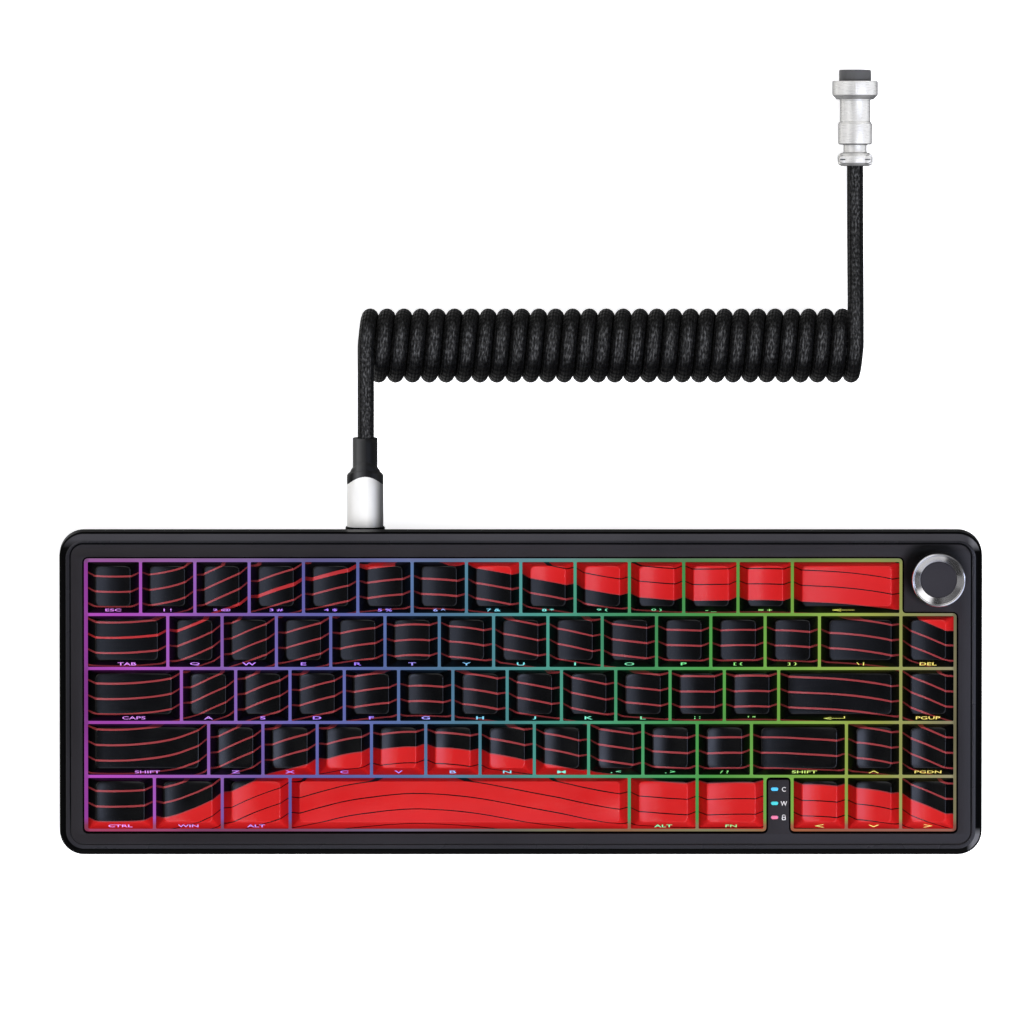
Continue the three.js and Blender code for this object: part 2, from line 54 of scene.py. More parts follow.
MM = 0.001
PITCH, KEY_GAP = 19.05, 1.05
CASE_WIDTH, CASE_DEPTH, CASE_BACK, CASE_CORNER = 323.7, 113.9, 0.7, 8.5
BEZEL_TOP, BEZEL_UNDER = 7.5, 5
SEAM_TOP, SEAM_BOTTOM = -3.85, -4.15
KNOB_X, KNOB_Y, KNOB_RADIUS, KNOB_BOTTOM, KNOB_TOP = 146.4, 42, 9.43, 8.7, 19.6
LIGHT_LEFT, LIGHT_RIGHT, LIGHT_ROWS = 87.75, 90.45, (-33, -38, -43)
PORT_X, PORT_Z = -54.4, -11
OPENING_GAPS = 0.5, 0.8  # round the keys; the second one at the left and the back
PLUG_X, PLUG_WIDTH, PLUG_HEIGHT, PLUG_FRONT = -54.65, 12.8, 9.4, 57.72
BARREL_END, SLEEVE_END, BARREL_BOW = 72.7, 89.1, 3.1  # along the deck
CORD = 5.6
COIL_RADIUS, COIL_TURNS, COIL_PITCH, COIL_BACK = 10.2, 29, 5.93, 121.6
COIL_END = PORT_X + COIL_TURNS * COIL_PITCH
AVIATOR_START, AVIATOR_AXIS, CLAMP_SIDE = 184.8, 8.3, 4.25
FOOT_X, FOOT_PIVOT, FOOT_LIFT = 118, 24, 4.6
FOOT_LENGTH, FOOT_WIDTH, FOOT_THICK = 22, 34, 4

# ---- The deck frame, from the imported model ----

press = next(joint for joint in frame["joints"] if joint["name"] == "key_space_press")
NORMAL = -Vector(press["axis"]).normalized()
SLOPE = atan2(-NORMAL.y, NORMAL.z)
plate_low, plate_high = (Vector(corner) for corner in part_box("switch_plate"))
ORIGIN = (plate_low + plate_high) / 2 / MM + NORMAL * 0.75
IN_DECK = Matrix.Translation(ORIGIN) @ Matrix.Rotation(SLOPE, 4, "X")
LEVEL = Matrix.Identity(4)


def from_deck(x, y, z):
    return IN_DECK @ Vector((x, y, z))


# ---- Mesh building ----


def rect(x0, x1, y0, y1, r, steps=5, mid=0):
    """A rounded rectangle, anticlockwise, with extra points along its straight sides."""
    corners = ((x1 - r, y1 - r), (x0 + r, y1 - r), (x0 + r, y0 + r), (x1 - r, y0 + r))
    points = []
    for k, (cx, cy) in enumerate(corners):
        for i in range(steps + 1):
            angle = pi / 2 * (k + i / steps)
            points.append(Vector((cx + r * cos(angle), cy + r * sin(angle))))
        if mid:
            nx, ny = corners[(k + 1) % 4]
            angle = pi / 2 * (k + 1)
            last = points[-1]
            first = Vector((nx + r * cos(angle), ny + r * sin(angle)))
            points += [last.lerp(first, (i + 1) / (mid + 1)) for i in range(mid)]
    return points


def circle(cx, cy, r, sides=24):
    angles = (2 * pi * i / sides for i in range(sides))
    return [Vector((cx + r * cos(a), cy + r * sin(a))) for a in angles]


def soften(points, radius, steps=3, closed=False):
    """Rounds the corners of a flat line of points."""
    points = [Vector(p) for p in points]
    out = []
    for i, p in enumerate(points):
        if not closed and i in (0, len(points) - 1):
            out.append(p)
            continue
        back, ahead = points[i - 1] - p, points[(i + 1) % len(points)] - p
        r = min(radius, 0.45 * back.length, 0.45 * ahead.length)
        start, end = p + back.normalized() * r, p + ahead.normalized() * r
        for k in range(steps + 1):
            t = k / steps
            out.append((1 - t) ** 2 * start + 2 * t * (1 - t) * p + t * t * end)
    return out


def offset(points, distance):
    """Moves an anticlockwise outline outwards by a distance."""
    out = []
    for i, p in enumerate(points):
        a = (p - points[i - 1]).normalized()
        b = (points[(i + 1) % len(points)] - p).normalized()
        normal = Vector((a.y + b.y, -a.x - b.x)).normalized()
        out.append(p + normal * distance / max(0.3, normal.dot(Vector((a.y, -a.x)))))
    return out


def at_height(points, z):
    return [Vector((p.x, p.y, z)) for p in points]


OPEN = (False, False)  # no caps on a loft's two ends


class Shape:
    """Points and faces in millimetres, with a material number for each face."""

    def __init__(self):
        self.points, self.faces, self.marks = [], [], []

    def add(self, points, faces, mark=0):
        start = len(self.points)
        self.points += [Vector(p) for p in points]
        self.faces += [[i + start for i in face] for face in faces]
        self.marks += [mark] * len(faces)

    def loft(self, rings, mark=0, caps=(True, True), marks=None):
        """Skins a row of rings; marks can give each band its own material number."""
        n, start = len(rings[0]), len(self.points)
        marks = marks or [mark] * len(rings)
        self.points += [Vector(p) for ring in rings for p in ring]
        for k in range(len(rings) - 1):
            for i in range(n):
                a, b = start + k * n + i, start + k * n + (i + 1) % n
                self.faces.append([a, b, b + n, a + n])
                self.marks.append(marks[k])
        last = start + (len(rings) - 1) * n
        if caps[0]:
            self.faces.append([start + i for i in reversed(range(n))])
            self.marks.append(marks[0])
        if caps[1]:
            self.faces.append([last + i for i in range(n)])
            self.marks.append(marks[-1])

    def stack(self, outline, steps, mark=0, caps=(True, True), marks=None):
        """Outlines over each other: each step is what outline() takes, then a height."""
        self.loft([at_height(outline(d), z) for d, z in steps], mark, caps, marks)

    def sheet(self, loops, z, mark=0):
        """A level face with an outer loop and holes."""
        loops = [at_height(loop, z) for loop in loops]
        flat = [p for loop in loops for p in loop]
        self.add(flat, tessellate_polygon(loops), mark)

    def turned(self, profile, sides=48, mark=0, caps=(True, True), ripple=None):
        """A body of revolution about z from (radius, z) pairs."""
        rings = []
        for k, (r, z) in enumerate(profile):
            wave = ripple(k) if ripple else 0
            radii = [r - wave * (i % 2) for i in range(sides)]
            ring = zip(circle(0, 0, 1, sides), radii)
            rings.append([Vector((p.x * q, p.y * q, z)) for p, q in ring])
        self.loft(rings, mark, caps)

    def moved(self, *steps):
        """Moves all points so far by a translation, or by a whole matrix."""
        matrix = steps[0] if len(steps) == 1 else Matrix.Translation(steps)
        self.points = [matrix @ p for p in self.points]
        return self

    def join(self, other):
        start = len(self.marks)
        self.add(other.points, other.faces)
        self.marks[start:] = other.marks


def link(name, data):
    thing = bpy.data.objects.new(name, data)
    scene.collection.objects.link(thing)
    return thing


def piece(name, shape, looks, slot, replaces=(), body="case", matrix=IN_DECK, sharp=35):
    """A named object; looks lists its materials in the order of the shape's marks."""
    mesh = bpy.data.meshes.new(name)
    mesh.from_pydata([matrix @ p * MM for p in shape.points], [], shape.faces)
    for look in looks.split():
        mesh.materials.append(M[look])
    mesh.polygons.foreach_set("material_index", shape.marks)
    work = bmesh.new()
    work.from_mesh(mesh)
    bmesh.ops.remove_doubles(work, verts=work.verts, dist=2e-6)
    bmesh.ops.recalc_face_normals(work, faces=work.faces)
    work.to_mesh(mesh)
    work.free()
    mesh.shade_smooth()
    mesh.set_sharp_from_angle(angle=radians(sharp))
    thing = link(name, mesh)
    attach(thing, body)
    if replaces:
        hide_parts(*replaces)


# ---- Camera: straight above, far away ----

camera = link("camera", bpy.data.cameras.new("camera"))
camera.data.sensor_width = 36
camera.data.lens = 899.2
camera.data.clip_end = 50
camera.location = (-0.00307, 0.0631, 9.003)
scene.camera = camera

# ---- Materials ----


class Nodes:
    """A node tree, with short ways to add to it."""

    def __init__(self, tree):
        self.tree = tree

    def put(self, socket, value):
        if isinstance(value, bpy.types.NodeSocket):
            self.tree.links.new(value, socket)
        else:
            socket.default_value = value

    def node(self, kind, inputs=None, **settings):
        node = self.tree.nodes.new("ShaderNode" + kind)
        for name, value in settings.items():
            setattr(node, name, value)
        for name, value in (inputs or {}).items():
            self.put(node.inputs[name], value)
        return node

    def math(self, operation, a, b=0, c=0):
        return self.node("Math", {0: a, 1: b, 2: c}, operation=operation).outputs[0]

    def times(self, a, b):
        return self.math("MULTIPLY", a, b)

    def scaled(self, color, share):
        return self.node("VectorMath", {0: color, "Scale": share}, operation="SCALE").outputs[0]


class Graph(Nodes):
    """A material's nodes; x, y and z are millimetres in the desk's frame."""

    def __init__(self, name, color, roughness, metallic=0):
        self.material = bpy.data.materials.new(name)
        self.material.use_nodes = True
        super().__init__(self.material.node_tree)
        self.shader = self.tree.nodes["Principled BSDF"]
        self.set(Base_Color=(*color, 1), Roughness=roughness, Metallic=metallic)
        where = self.node("TexCoord")
        self.place, self.uv = where.outputs["Object"], where.outputs["UV"]
        split = self.node("SeparateXYZ", {0: self.place})
        self.x, self.y, self.z = (self.times(o, 1000) for o in split.outputs)

    def set(self, **values):
        """Fills the shader's inputs, named with _ in place of spaces."""
        for name, value in values.items():
            self.put(self.shader.inputs[name.replace("_", " ")], value)
        return self

    def noise(self, scale, detail=3, stretch=None, place=None):
        place = self.place if place is None else place
        if stretch:
            place = self.node("VectorMath", {0: place, 1: stretch}, operation="MULTIPLY").outputs[0]
        return self.node("TexNoise", {"Vector": place, "Scale": scale, "Detail": detail}).outputs[0]

    def span(self, value, low, high, to_low=0, to_high=1):
        inputs = {0: value, 1: low, 2: high, 3: to_low, 4: to_high}
        return self.node("MapRange", inputs).outputs[0]

    def patchy(self, color, scale=28, low=0.92, high=1.08):
        """A colour that is lighter and darker in broad patches."""
        return self.scaled(color, self.span(self.noise(scale, 4), 0.35, 0.65, low, high))

    def mix(self, factor, a, b):
        node = self.node("Mix", data_type="RGBA")
        self.put(node.inputs["Factor"], factor)
        for socket, color in ((node.inputs[6], a), (node.inputs[7], b)):
            self.put(socket, color if isinstance(color, bpy.types.NodeSocket) else (*color, 1))
        return node.outputs[2]

    def ramp(self, factor, stops):
        node = self.node("ValToRGB", {0: factor})
        marks = node.color_ramp.elements
        while len(marks) < len(stops):
            marks.new(0.5)
        for mark, (position, color) in zip(marks, stops):
            mark.position = position
            mark.color = (*color, 1)
        return node.outputs[0]

    def bump(self, height, strength, distance):
        inputs = {"Height": height, "Strength": strength, "Distance": distance}
        return self.set(Normal=self.node("Bump", inputs).outputs[0])

    def facing(self):
        """Which way the surface looks, as three numbers."""
        normal = self.node("NewGeometry").outputs["Normal"]
        return self.node("SeparateXYZ", {0: normal}).outputs

    def heights(self, height):
        """The surface's height square to the deck, and a deck height on that same scale."""
        sine, cosine = sin(SLOPE), cos(SLOPE)
        own = self.math("MULTIPLY_ADD", self.y, -sine, self.times(self.z, cosine))
        return own, height - ORIGIN.y * sine + ORIGIN.z * cosine


def grained(name, color, roughness, grain=2600, depth=0.00004, spread=0.06):
    """A moulded or blasted surface: fine grain, uneven gloss, faint colour drift."""
    g = Graph(name, color, roughness)
    broad = g.noise(28, 4)
    lighter = tuple(min(1, c * 1.18 + 0.0012) for c in color)
    g.set(
        Roughness=g.span(broad, 0.3, 0.7, roughness - spread, roughness + spread),
        Base_Color=g.mix(g.span(broad, 0.35, 0.65), color, lighter),
    )
    return g.bump(g.noise(grain), 0.35, depth)


# The lamp colours, in thousandths, by x in millimetres: between the keys, and along the
# opening's back and front edges, where grey and red surfaces dull them.
GLOW = (
    (-155, 470, 75, 520), (-140, 434, 79, 506), (-111, 296, 122, 482), (-81, 147, 130, 430),
    (-52, 120, 160, 430), (-22, 100, 240, 365), (7, 75, 330, 275), (37, 70, 340, 150),
    (66, 75, 330, 70), (96, 200, 411, 65), (125, 364, 411, 85), (150, 330, 300, 170),
)
BACK_GLOW = (
    (-140, 224, 140, 199), (-111, 211, 119, 209), (-81, 170, 128, 224), (-52, 175, 165, 337),
    (-22, 160, 150, 260), (7, 150, 220, 280), (37, 130, 170, 141), (66, 160, 202, 130),
    (96, 165, 200, 95), (125, 180, 235, 110),
)
FRONT_GLOW = (
    (-140, 360, 54, 127), (-111, 260, 70, 165), (-81, 254, 83, 165), (-52, 165, 130, 220),
    (-22, 197, 150, 180), (7, 181, 170, 112), (37, 260, 130, 73), (66, 240, 220, 120),
    (96, 340, 110, 50), (125, 359, 133, 100),
)
LETTER_GLOW = (
    (-150, 600, 130, 700), (-110, 420, 120, 760), (-55, 220, 80, 820), (-35, 260, 200, 860),
    (-15, 80, 500, 760), (5, 70, 620, 600), (30, 70, 640, 340), (60, 60, 600, 120),
    (85, 200, 620, 60), (115, 660, 620, 40), (152, 780, 580, 50),
)


def backlight(g, strength, lamps=GLOW, edges=None):
    """Light from the row of coloured lamps, a little uneven from lamp to lamp."""
    across = g.span(g.x, -160, 160)

    def color_of(row):
        stops = [((x + 160) / 320, [c / 1000 for c in lamp]) for x, *lamp in row]
        return g.ramp(across, stops)

    color = color_of(lamps)
    if edges:
        color = g.mix(g.span(g.y, 44.5, 47.5), color, color_of(edges[0]))
        color = g.mix(g.span(g.y, -44.5, -47), color, color_of(edges[1]))
        # The strips beside the first and last keys get less of the light.
        color = g.scaled(color, g.span(g.math("ABSOLUTE", g.x), 151.2, 152.2, 1, 0.62))
    drift = g.span(g.noise(30, 1), 0.35, 0.65)
    uneven = g.mix(drift, g.scaled(color, 0.75), color)
    return g.set(Emission_Color=uneven, Emission_Strength=strength)


# The lowest line of the printed waves, in millimetres, and the distance between lines.
WAVE = (
    (-155, -44.6), (-148, -45.6), (-140, -45.75), (-132, -45.25), (-124, -44.1), (-116, -41.65),
    (-108, -38.1), (-100, -34.5), (-92, -31.1), (-84, -28.25), (-76, -25.95), (-68, -23.75),
    (-60, -21.9), (-52, -20.75), (-44, -19.85), (-38, -19.5), (-30, -19.7), (-22, -20.3),
    (-14, -21.3), (-6, -22.7), (4, -24.6), (14, -26.45), (24, -28.6), (34, -30.3), (44, -31.4),
    (56, -32.25), (88, -32.2), (100, -32.75), (112, -33.4), (124, -34.75), (132, -36.3),
    (140, -39.2), (148, -42.5), (155, -45.2),
)
LINE_STEP, BLACK_LINES = 5.39, 12


def keycap_material(name, specular, roughness):
    """Black plastic with a printed family of red waves, solid red in two corners."""
    g = Graph(name, (0.006, 0.006, 0.007), roughness)
    curve = g.node("FloatCurve", {"Value": g.span(g.x, -155, 155)})
    line = curve.mapping.curves[0]
    spots = [((x + 155) / 310, (y + 50) / 35) for x, y in WAVE]
    line.points[0].location, line.points[1].location = spots[0], spots[-1]
    for spot in spots[1:-1]:
        line.points.new(*spot)
    curve.mapping.update()
    base = g.math("MULTIPLY_ADD", curve.outputs[0], 35, -50)
    # The film is drawn down over the keycap's flanks, which bends the lines on them.
    own, top = g.heights(14.4)
    drawn = g.times(g.math("MINIMUM", g.math("SUBTRACT", own, top), 0), 0.12)
    height = g.math("DIVIDE", g.math("SUBTRACT", g.math("ADD", g.y, drawn), base), LINE_STEP)
    off_line = g.math("PINGPONG", height, 0.5)
    uneven = g.span(g.noise(60, 2), 0.3, 0.7, 0.88, 1.12)
    # The line under the upper red area thickens as it nears it.
    thick = g.math("COMPARE", height, BLACK_LINES, 0.5)
    swell = g.times(thick, g.span(g.x, -145, -58, 0.004, 0.07))
    swell = g.times(swell, g.math("LESS_THAN", g.x, -44))
    red_line = g.math("LESS_THAN", off_line, g.math("ADD", g.times(uneven, 0.061), swell))
    dark_line = g.math("LESS_THAN", off_line, g.times(uneven, 0.034))
    below = g.math("LESS_THAN", height, 0)
    # The upper red area starts as a thin wedge.
    wedge = g.math("MULTIPLY_ADD", g.y, -4.8, g.x)
    right = g.math("GREATER_THAN", wedge, -54 - 4.8 * 44.4)
    right = g.times(right, g.math("GREATER_THAN", g.x, -60))
    above = g.times(g.math("GREATER_THAN", height, BLACK_LINES), right)
    inside = g.math("COMPARE", height, BLACK_LINES / 2, BLACK_LINES / 2 + 0.5)
    dark_line = g.times(dark_line, g.math("SUBTRACT", 1, inside))
    solid = g.math("ADD", below, above)
    black = g.math("SUBTRACT", 1, solid)
    lined = g.times(solid, g.math("SUBTRACT", 1, dark_line))
    red = g.math("ADD", g.times(black, red_line), lined)
    ink = g.mix(g.span(g.noise(45), 0.3, 0.7), (0.515, 0.0085, 0.0095), (0.57, 0.013, 0.013))
    # Fine lines take less ink than the solid areas.
    fine = g.times(black, g.math("MULTIPLY_ADD", thick, -0.45, 1))
    ink = g.mix(fine, ink, (0.265, 0.034, 0.038))
    speckle = g.span(g.noise(90), 0.3, 0.7)
    plastic = g.mix(speckle, (0.0008, 0.0008, 0.0011), (0.0018, 0.0018, 0.0022))
    gloss = g.span(g.noise(120, 4), 0.3, 0.7, roughness - 0.04, roughness + 0.05)
    g.set(Base_Color=g.mix(red, plastic, ink), Specular_IOR_Level=specular, Roughness=gloss)
    return g.bump(g.noise(3600), 0.25, 0.00003).material


def braid_material():
    """Black braid: two sets of strands that cross, over and under by turns, with painted shade."""
    g = Graph("braid", (0.012, 0.012, 0.013), 0.42)
    along, around = g.node("SeparateXYZ", {0: g.uv}).outputs[:2]
    turn = g.times(around, 8)
    one, two = g.math("ADD", along, turn), g.math("SUBTRACT", along, turn)
    first, second = (g.math("SINE", g.times(way, 2 * pi)) for way in (one, two))
    weave = g.times(first, second)
    strand = g.math("SINE", g.times(one, 10 * pi))
    height = g.math("ADD", weave, g.times(strand, 0.2))
    # Painted shade in the weave: the raised strands are lighter than the sunk ones.
    yarn_with_painted_shade = g.mix(g.span(weave, -0.8, 1), (0.008, 0.008, 0.008), (0.030, 0.030, 0.0305))
    fleck = g.span(g.noise(1, 3, (2.4, 30, 1), g.uv), 0.48, 0.68)
    yarn_with_painted_shade = g.mix(fleck, yarn_with_painted_shade, (0.115, 0.115, 0.117))
    # Painted shade: the yarn is darkened down the sides and on faces turned to the front, as if lit
    # from above.
    _, back, up = g.facing()
    painted_side_shade = g.times(g.span(up, 0.74, 0.95, 0.13, 1), g.span(back, -0.52, -0.36, 0.3, 1))
    g.set(Base_Color=g.scaled(yarn_with_painted_shade, painted_side_shade), Specular_IOR_Level=0.16)
    return g.bump(height, 0.8, 0.0004).material


def metal(
    name, color, roughness, stretch, brushed=0, depth=0.00003, metallic=1,
    shade=None, painted_flank_shade=None, wear=(0.85, 1.2),
):
    """Machined metal: tool marks run round or along it, with a few fine scuffs, and optional painted
    shade.
    """
    g = Graph(name, color, roughness, metallic)
    if brushed:
        spun = g.node("Tangent", direction_type="RADIAL", axis="Z")
        g.set(Anisotropic=brushed, Tangent=spun.outputs[0])
    marks = g.noise(700, 2, stretch)
    g.set(Roughness=g.span(marks, 0.3, 0.7, roughness * wear[0], roughness * wear[1]))
    tint = g.mix(g.span(g.noise(60, 6), 0.5, 0.8), color, tuple(c * 0.9 for c in color))
    if shade:
        # Painted shade: the satin turns darker towards one side.
        low, high, darkest = shade
        tint = g.mix(g.span(g.x, low, high), tint, darkest)
    if painted_flank_shade:
        # Painted shade: steep flanks, faces turned to the front and a narrow streak are darker than
        # the lit crown.
        low, high, darkest = painted_flank_shade
        right, back, up = g.facing()
        crown = g.times(g.span(up, low, high), g.span(back, -0.62, -0.35, 0.25, 1))
        off_streak = g.math("ABSOLUTE", g.math("ADD", right, 0.15))
        crown = g.times(crown, g.span(off_streak, 0.04, 0.28, 0.72, 1))
        tint = g.mix(crown, darkest, tint)
    return g.set(Base_Color=tint).bump(marks, 0.12, depth).material


def board_material():
    """Milky switch bodies above a dark board, told apart by their height over it."""
    g = Graph("board_and_switches", (0.4, 0.4, 0.42), 0.35)
    above = g.math("GREATER_THAN", *g.heights(-4.95))
    tracks = g.span(g.noise(260, 1, (1, 6, 1)), 0.48, 0.52)
    laminate = g.mix(tracks, (0.006, 0.02, 0.012), (0.015, 0.045, 0.028))
    backlight(g, 0.5)
    return g.set(Base_Color=g.mix(above, laminate, (0.45, 0.46, 0.5))).material


def case_paint(name, color, other, axis, low, high, roughness, specular, painted_shadow=None):
    """Lacquer whose tone drifts from one side of the case to the other, with an optional painted
    shadow.
    """
    g = grained(name, color, roughness, 2600, 0.00003)
    tone = g.patchy(g.mix(g.span(getattr(g, axis), low, high), color, other))
    if painted_shadow:
        # A painted shadow: a round patch that fades out; its middle, and the radii where it ends.
        x, y, inner, outer = painted_shadow
        away = {0: g.math("SUBTRACT", g.x, x), 1: g.math("SUBTRACT", g.y, y)}
        away = g.node("CombineXYZ", away).outputs[0]
        reach = g.node("VectorMath", {0: away}, operation="LENGTH").outputs["Value"]
        tone = g.scaled(tone, g.span(reach, inner, outer, 0.15, 1))
    return g.set(Base_Color=tone, Specular_IOR_Level=specular).material


def sleeve_rubber():
    """Black rubber with a painted highlight, grey along its left side."""
    g = Graph("sleeve_black", (0.01, 0.01, 0.01), 0.45)
    # Painted highlight: grey tones by x in millimetres, lightest left of the middle.
    painted_highlight_tones = (
        (-59.2, 0.010), (-57.3, 0.088), (-55.7, 0.036), (-54.2, 0.008), (-52.6, 0.003), (-50.6, 0.010),
    )
    stops = [((x + 60) / 10, (tone, tone, tone)) for x, tone in painted_highlight_tones]
    tone = g.patchy(g.ramp(g.span(g.x, -60, -50), stops), 60, 0.9, 1.1)
    g.bump(g.noise(1500), 0.35, 0.00005)
    return g.set(Base_Color=tone, Specular_IOR_Level=0.2).material


def shoulder_with_painted_sheen():
    """Black lacquer with a painted sheen that turns it grey along the back, and painted glints at two
    corners.
    """
    g = Graph("case_shoulder", (0.001, 0.001, 0.0012), 0.35)
    # Painted glints at both right corners, which lie about as far from the case's middle line.
    corner = g.span(g.math("ABSOLUTE", g.math("SUBTRACT", g.y, 0.8)), 48.5, 51)
    corner = g.times(corner, g.span(g.x, 156.6, 158.6))
    # Painted sheen: the shoulder turns grey along the back.
    tone = g.mix(g.span(g.y, 50.5, 53.5), (0.0009, 0.0009, 0.0011), (0.046, 0.0445, 0.050))
    tone = g.patchy(g.mix(corner, tone, (0.125, 0.125, 0.135)))
    g.bump(g.noise(2600), 0.35, 0.00003)
    return g.set(Base_Color=tone, Specular_IOR_Level=0.06).material


def lacquer(name, color, roughness, specular, grain=2600, depth=0.00004, spread=0.06):
    g = grained(name, color, roughness, grain, depth, spread)
    return g.set(Specular_IOR_Level=specular).material


plate_graph = grained("plate_white", (0.02, 0.02, 0.021), 0.5)
legend_graph = Graph("legend_glow", (0.3, 0.3, 0.3), 0.5)
# The knob's shadow, painted on the bezel, lies off towards the left and the back.
knob_foot = from_deck(KNOB_X, KNOB_Y, BEZEL_TOP)
KNOB_SHADE = (knob_foot.x - 1.5, knob_foot.y + 2, 9.6, 12.8)

M = {
    "print": keycap_material("keycap_print", 0.5, 0.21),
    "flank": keycap_material("keycap_print_flank", 0.04, 0.5),
    "legend": backlight(legend_graph, 1.4, LETTER_GLOW).material,
    "stem": grained("stem_plastic", (0.25, 0.02, 0.02), 0.4).material,
    "rim": lacquer("case_gloss", (0.0009, 0.0009, 0.0011), 0.2, 0.035, 900, 0.00001, 0.03),
    "band": case_paint(
        "case_band", (0.019, 0.018, 0.021), (0.017, 0.0165, 0.02), "y", -30, 40, 0.27, 0.4
    ),
    "groove": case_paint(
        "case_groove", (0.02, 0.019, 0.0205), (0.0025, 0.0025, 0.003), "y", -52, -40, 0.6, 0.1
    ),
    "shoulder": shoulder_with_painted_sheen(),
    "wall": lacquer("case_wall", (0.0045, 0.0045, 0.005), 0.4, 0.06, 1800, 0.00003),
    # Painted shade: flat black without gloss on the opening's inner chamfer and wall.
    "edge": lacquer("opening_edge_painted_shade", (0.001, 0.001, 0.0012), 0.6, 0),
    "bezel": case_paint(
        "case_bezel", (0.02, 0.018, 0.0203), (0.025, 0.0235, 0.0275), "x", -150, 160, 0.47, 0.2,
        KNOB_SHADE,
    ),
    "base": lacquer("case_base", (0.01, 0.0095, 0.011), 0.5, 0.35, 1600, 0.00008),
    "rubber": lacquer("rubber_black", (0.009, 0.009, 0.0095), 0.8, 0.3, 1500, 0.0001),
    "sleeve": sleeve_rubber(),
    "plate": backlight(plate_graph, 1.02, edges=(BACK_GLOW, FRONT_GLOW)).material,
    "board": board_material(),
    "braid": braid_material(),
    "plug": metal(
        "plug_silver", (0.98, 0.965, 0.935), 0.34, (3, 0.1, 3), depth=0.000005,
        metallic=0.14, shade=(-54, -49.2, (0.1, 0.1, 0.1)),
    ),
    "nickel": metal(
        "nickel", (0.85, 0.835, 0.805), 0.28, (0.5, 8, 0.5), depth=0.000001,
        metallic=0.27, painted_flank_shade=(0.1, 0.62, (0.07, 0.07, 0.07)), wear=(0.95, 1.06),
    ),
    "knob": metal("knob_silver", (0.80, 0.79, 0.81), 0.15, (1, 1, 12), 0.35),
    "knob_cap": lacquer("knob_cap", (0.026, 0.024, 0.029), 0.42, 0.2, 3200, 0.00002),
    "screw": metal("screw_steel", (0.20, 0.20, 0.21), 0.3, (1, 1, 5)),
    "gold": metal("contact_gold", (0.83, 0.62, 0.25), 0.22, (1, 1, 1)),
    "insert": lacquer("insert_grey", (0.08, 0.08, 0.082), 0.4, 0.3),
    "white": lacquer("white_ink", (0.62, 0.62, 0.63), 0.5, 0.2),
}
for number, lamp in enumerate([(0.09, 0.55, 0.95), (0.07, 0.62, 0.68), (0.78, 0.20, 0.36)]):
    g = grained(f"lamp_{number}", tuple(0.5 * c for c in lamp), 0.3)
    g.set(Emission_Color=(*lamp, 1), Emission_Strength=0.62)
    M[f"lamp_{number}"] = g.material

# ---- Cable ----


def smooth_path(points, step):
    """A smooth curve through the points, in steps of about one length."""
    out = []
    out = []
    for i, (p1, p2) in enumerate(zip(points, points[1:])):
        p0, p3 = points[max(0, i - 1)], points[min(len(points) - 1, i + 2)]
        a, b, c = p2 - p0, 2 * p0 - 5 * p1 + 4 * p2 - p3, 3 * p1 - p0 - 3 * p2 + p3
        count = max(2, round((p2 - p1).length / step))
        for t in (k / count for k in range(count)):
            out.append(0.5 * (2 * p1 + a * t + b * t**2 + c * t**3))
    return out + [points[-1]]


def cord_route():
    crown = CORD / 2 + 2 * COIL_RADIUS
    lead = [from_deck(PORT_X, SLEEVE_END + ahead, PORT_Z) for ahead in (-4, 3, 11)]
    lead += [Vector((PORT_X, COIL_BACK - 12, crown - 0.45)), Vector((PORT_X, COIL_BACK, crown))]
    turns = []
    per_turn = 48
    for i in range(1, COIL_TURNS * per_turn):
        angle = 2 * pi * i / per_turn
        x = PORT_X + COIL_PITCH * angle / (2 * pi)
        y = COIL_BACK + COIL_RADIUS * sin(angle)
        turns.append(Vector((x, y, CORD / 2 + COIL_RADIUS * (1 + cos(angle)))))
    tail = [
        (COIL_BACK, crown), (COIL_BACK + 12.3, crown - 0.6), (COIL_BACK + 26, crown - 6),
        (AVIATOR_START - 21, AVIATOR_AXIS + 2.4), (AVIATOR_START - 8, AVIATOR_AXIS + 0.2),
        (AVIATOR_START + 2, AVIATOR_AXIS),
    ]
    tail = [Vector((COIL_END, y, z)) for y, z in tail]
    return smooth_path(lead, 1.3)[:-1] + turns + smooth_path(tail, 1.3)


def tube(name, route, radius, sides, material):
    """A tube with rings square to the route and a uv that runs along and round it."""
    rings, runs = [], []
    side = Vector((1, 0, 0))
    run = 0
    for i, centre in enumerate(route):
        ahead = (route[min(i + 1, len(route) - 1)] - route[max(i - 1, 0)]).normalized()
        side = (side - ahead * side.dot(ahead)).normalized()
        up = ahead.cross(side)
        run += (centre - route[i - 1]).length if i else 0
        runs.append(run)
        angles = (2 * pi * k / sides for k in range(sides))
        rings.append([centre + (side * cos(a) + up * sin(a)) * radius for a in angles])
    shape = Shape()
    shape.loft(rings)
    mesh = bpy.data.meshes.new(name)
    mesh.from_pydata([p * MM for p in shape.points], [], shape.faces)
    mesh.materials.append(material)
    layer = mesh.uv_layers.new(name="along_and_round")
    crossing = 3.4  # length of one crossing of the strands
    for face in mesh.polygons:
        spots = [mesh.loops[i].vertex_index for i in face.loop_indices]
        ks = [spot % sides for spot in spots]
        wraps = max(ks) - min(ks) > sides / 2
        for i, spot, k in zip(face.loop_indices, spots, ks):
            turn = (k + sides if wraps and k < sides / 2 else k) / sides
            layer.data[i].uv = (runs[spot // sides] / crossing, turn)
    mesh.shade_smooth()
    return link(name, mesh)


route = cord_route()
cable = tube("cable", route, CORD / 2 + 0.08, 16, M["braid"])
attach(cable, "case")
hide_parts("cable_lead", "cable_coil", "cable_tail")

# ---- Plug and sleeve ----


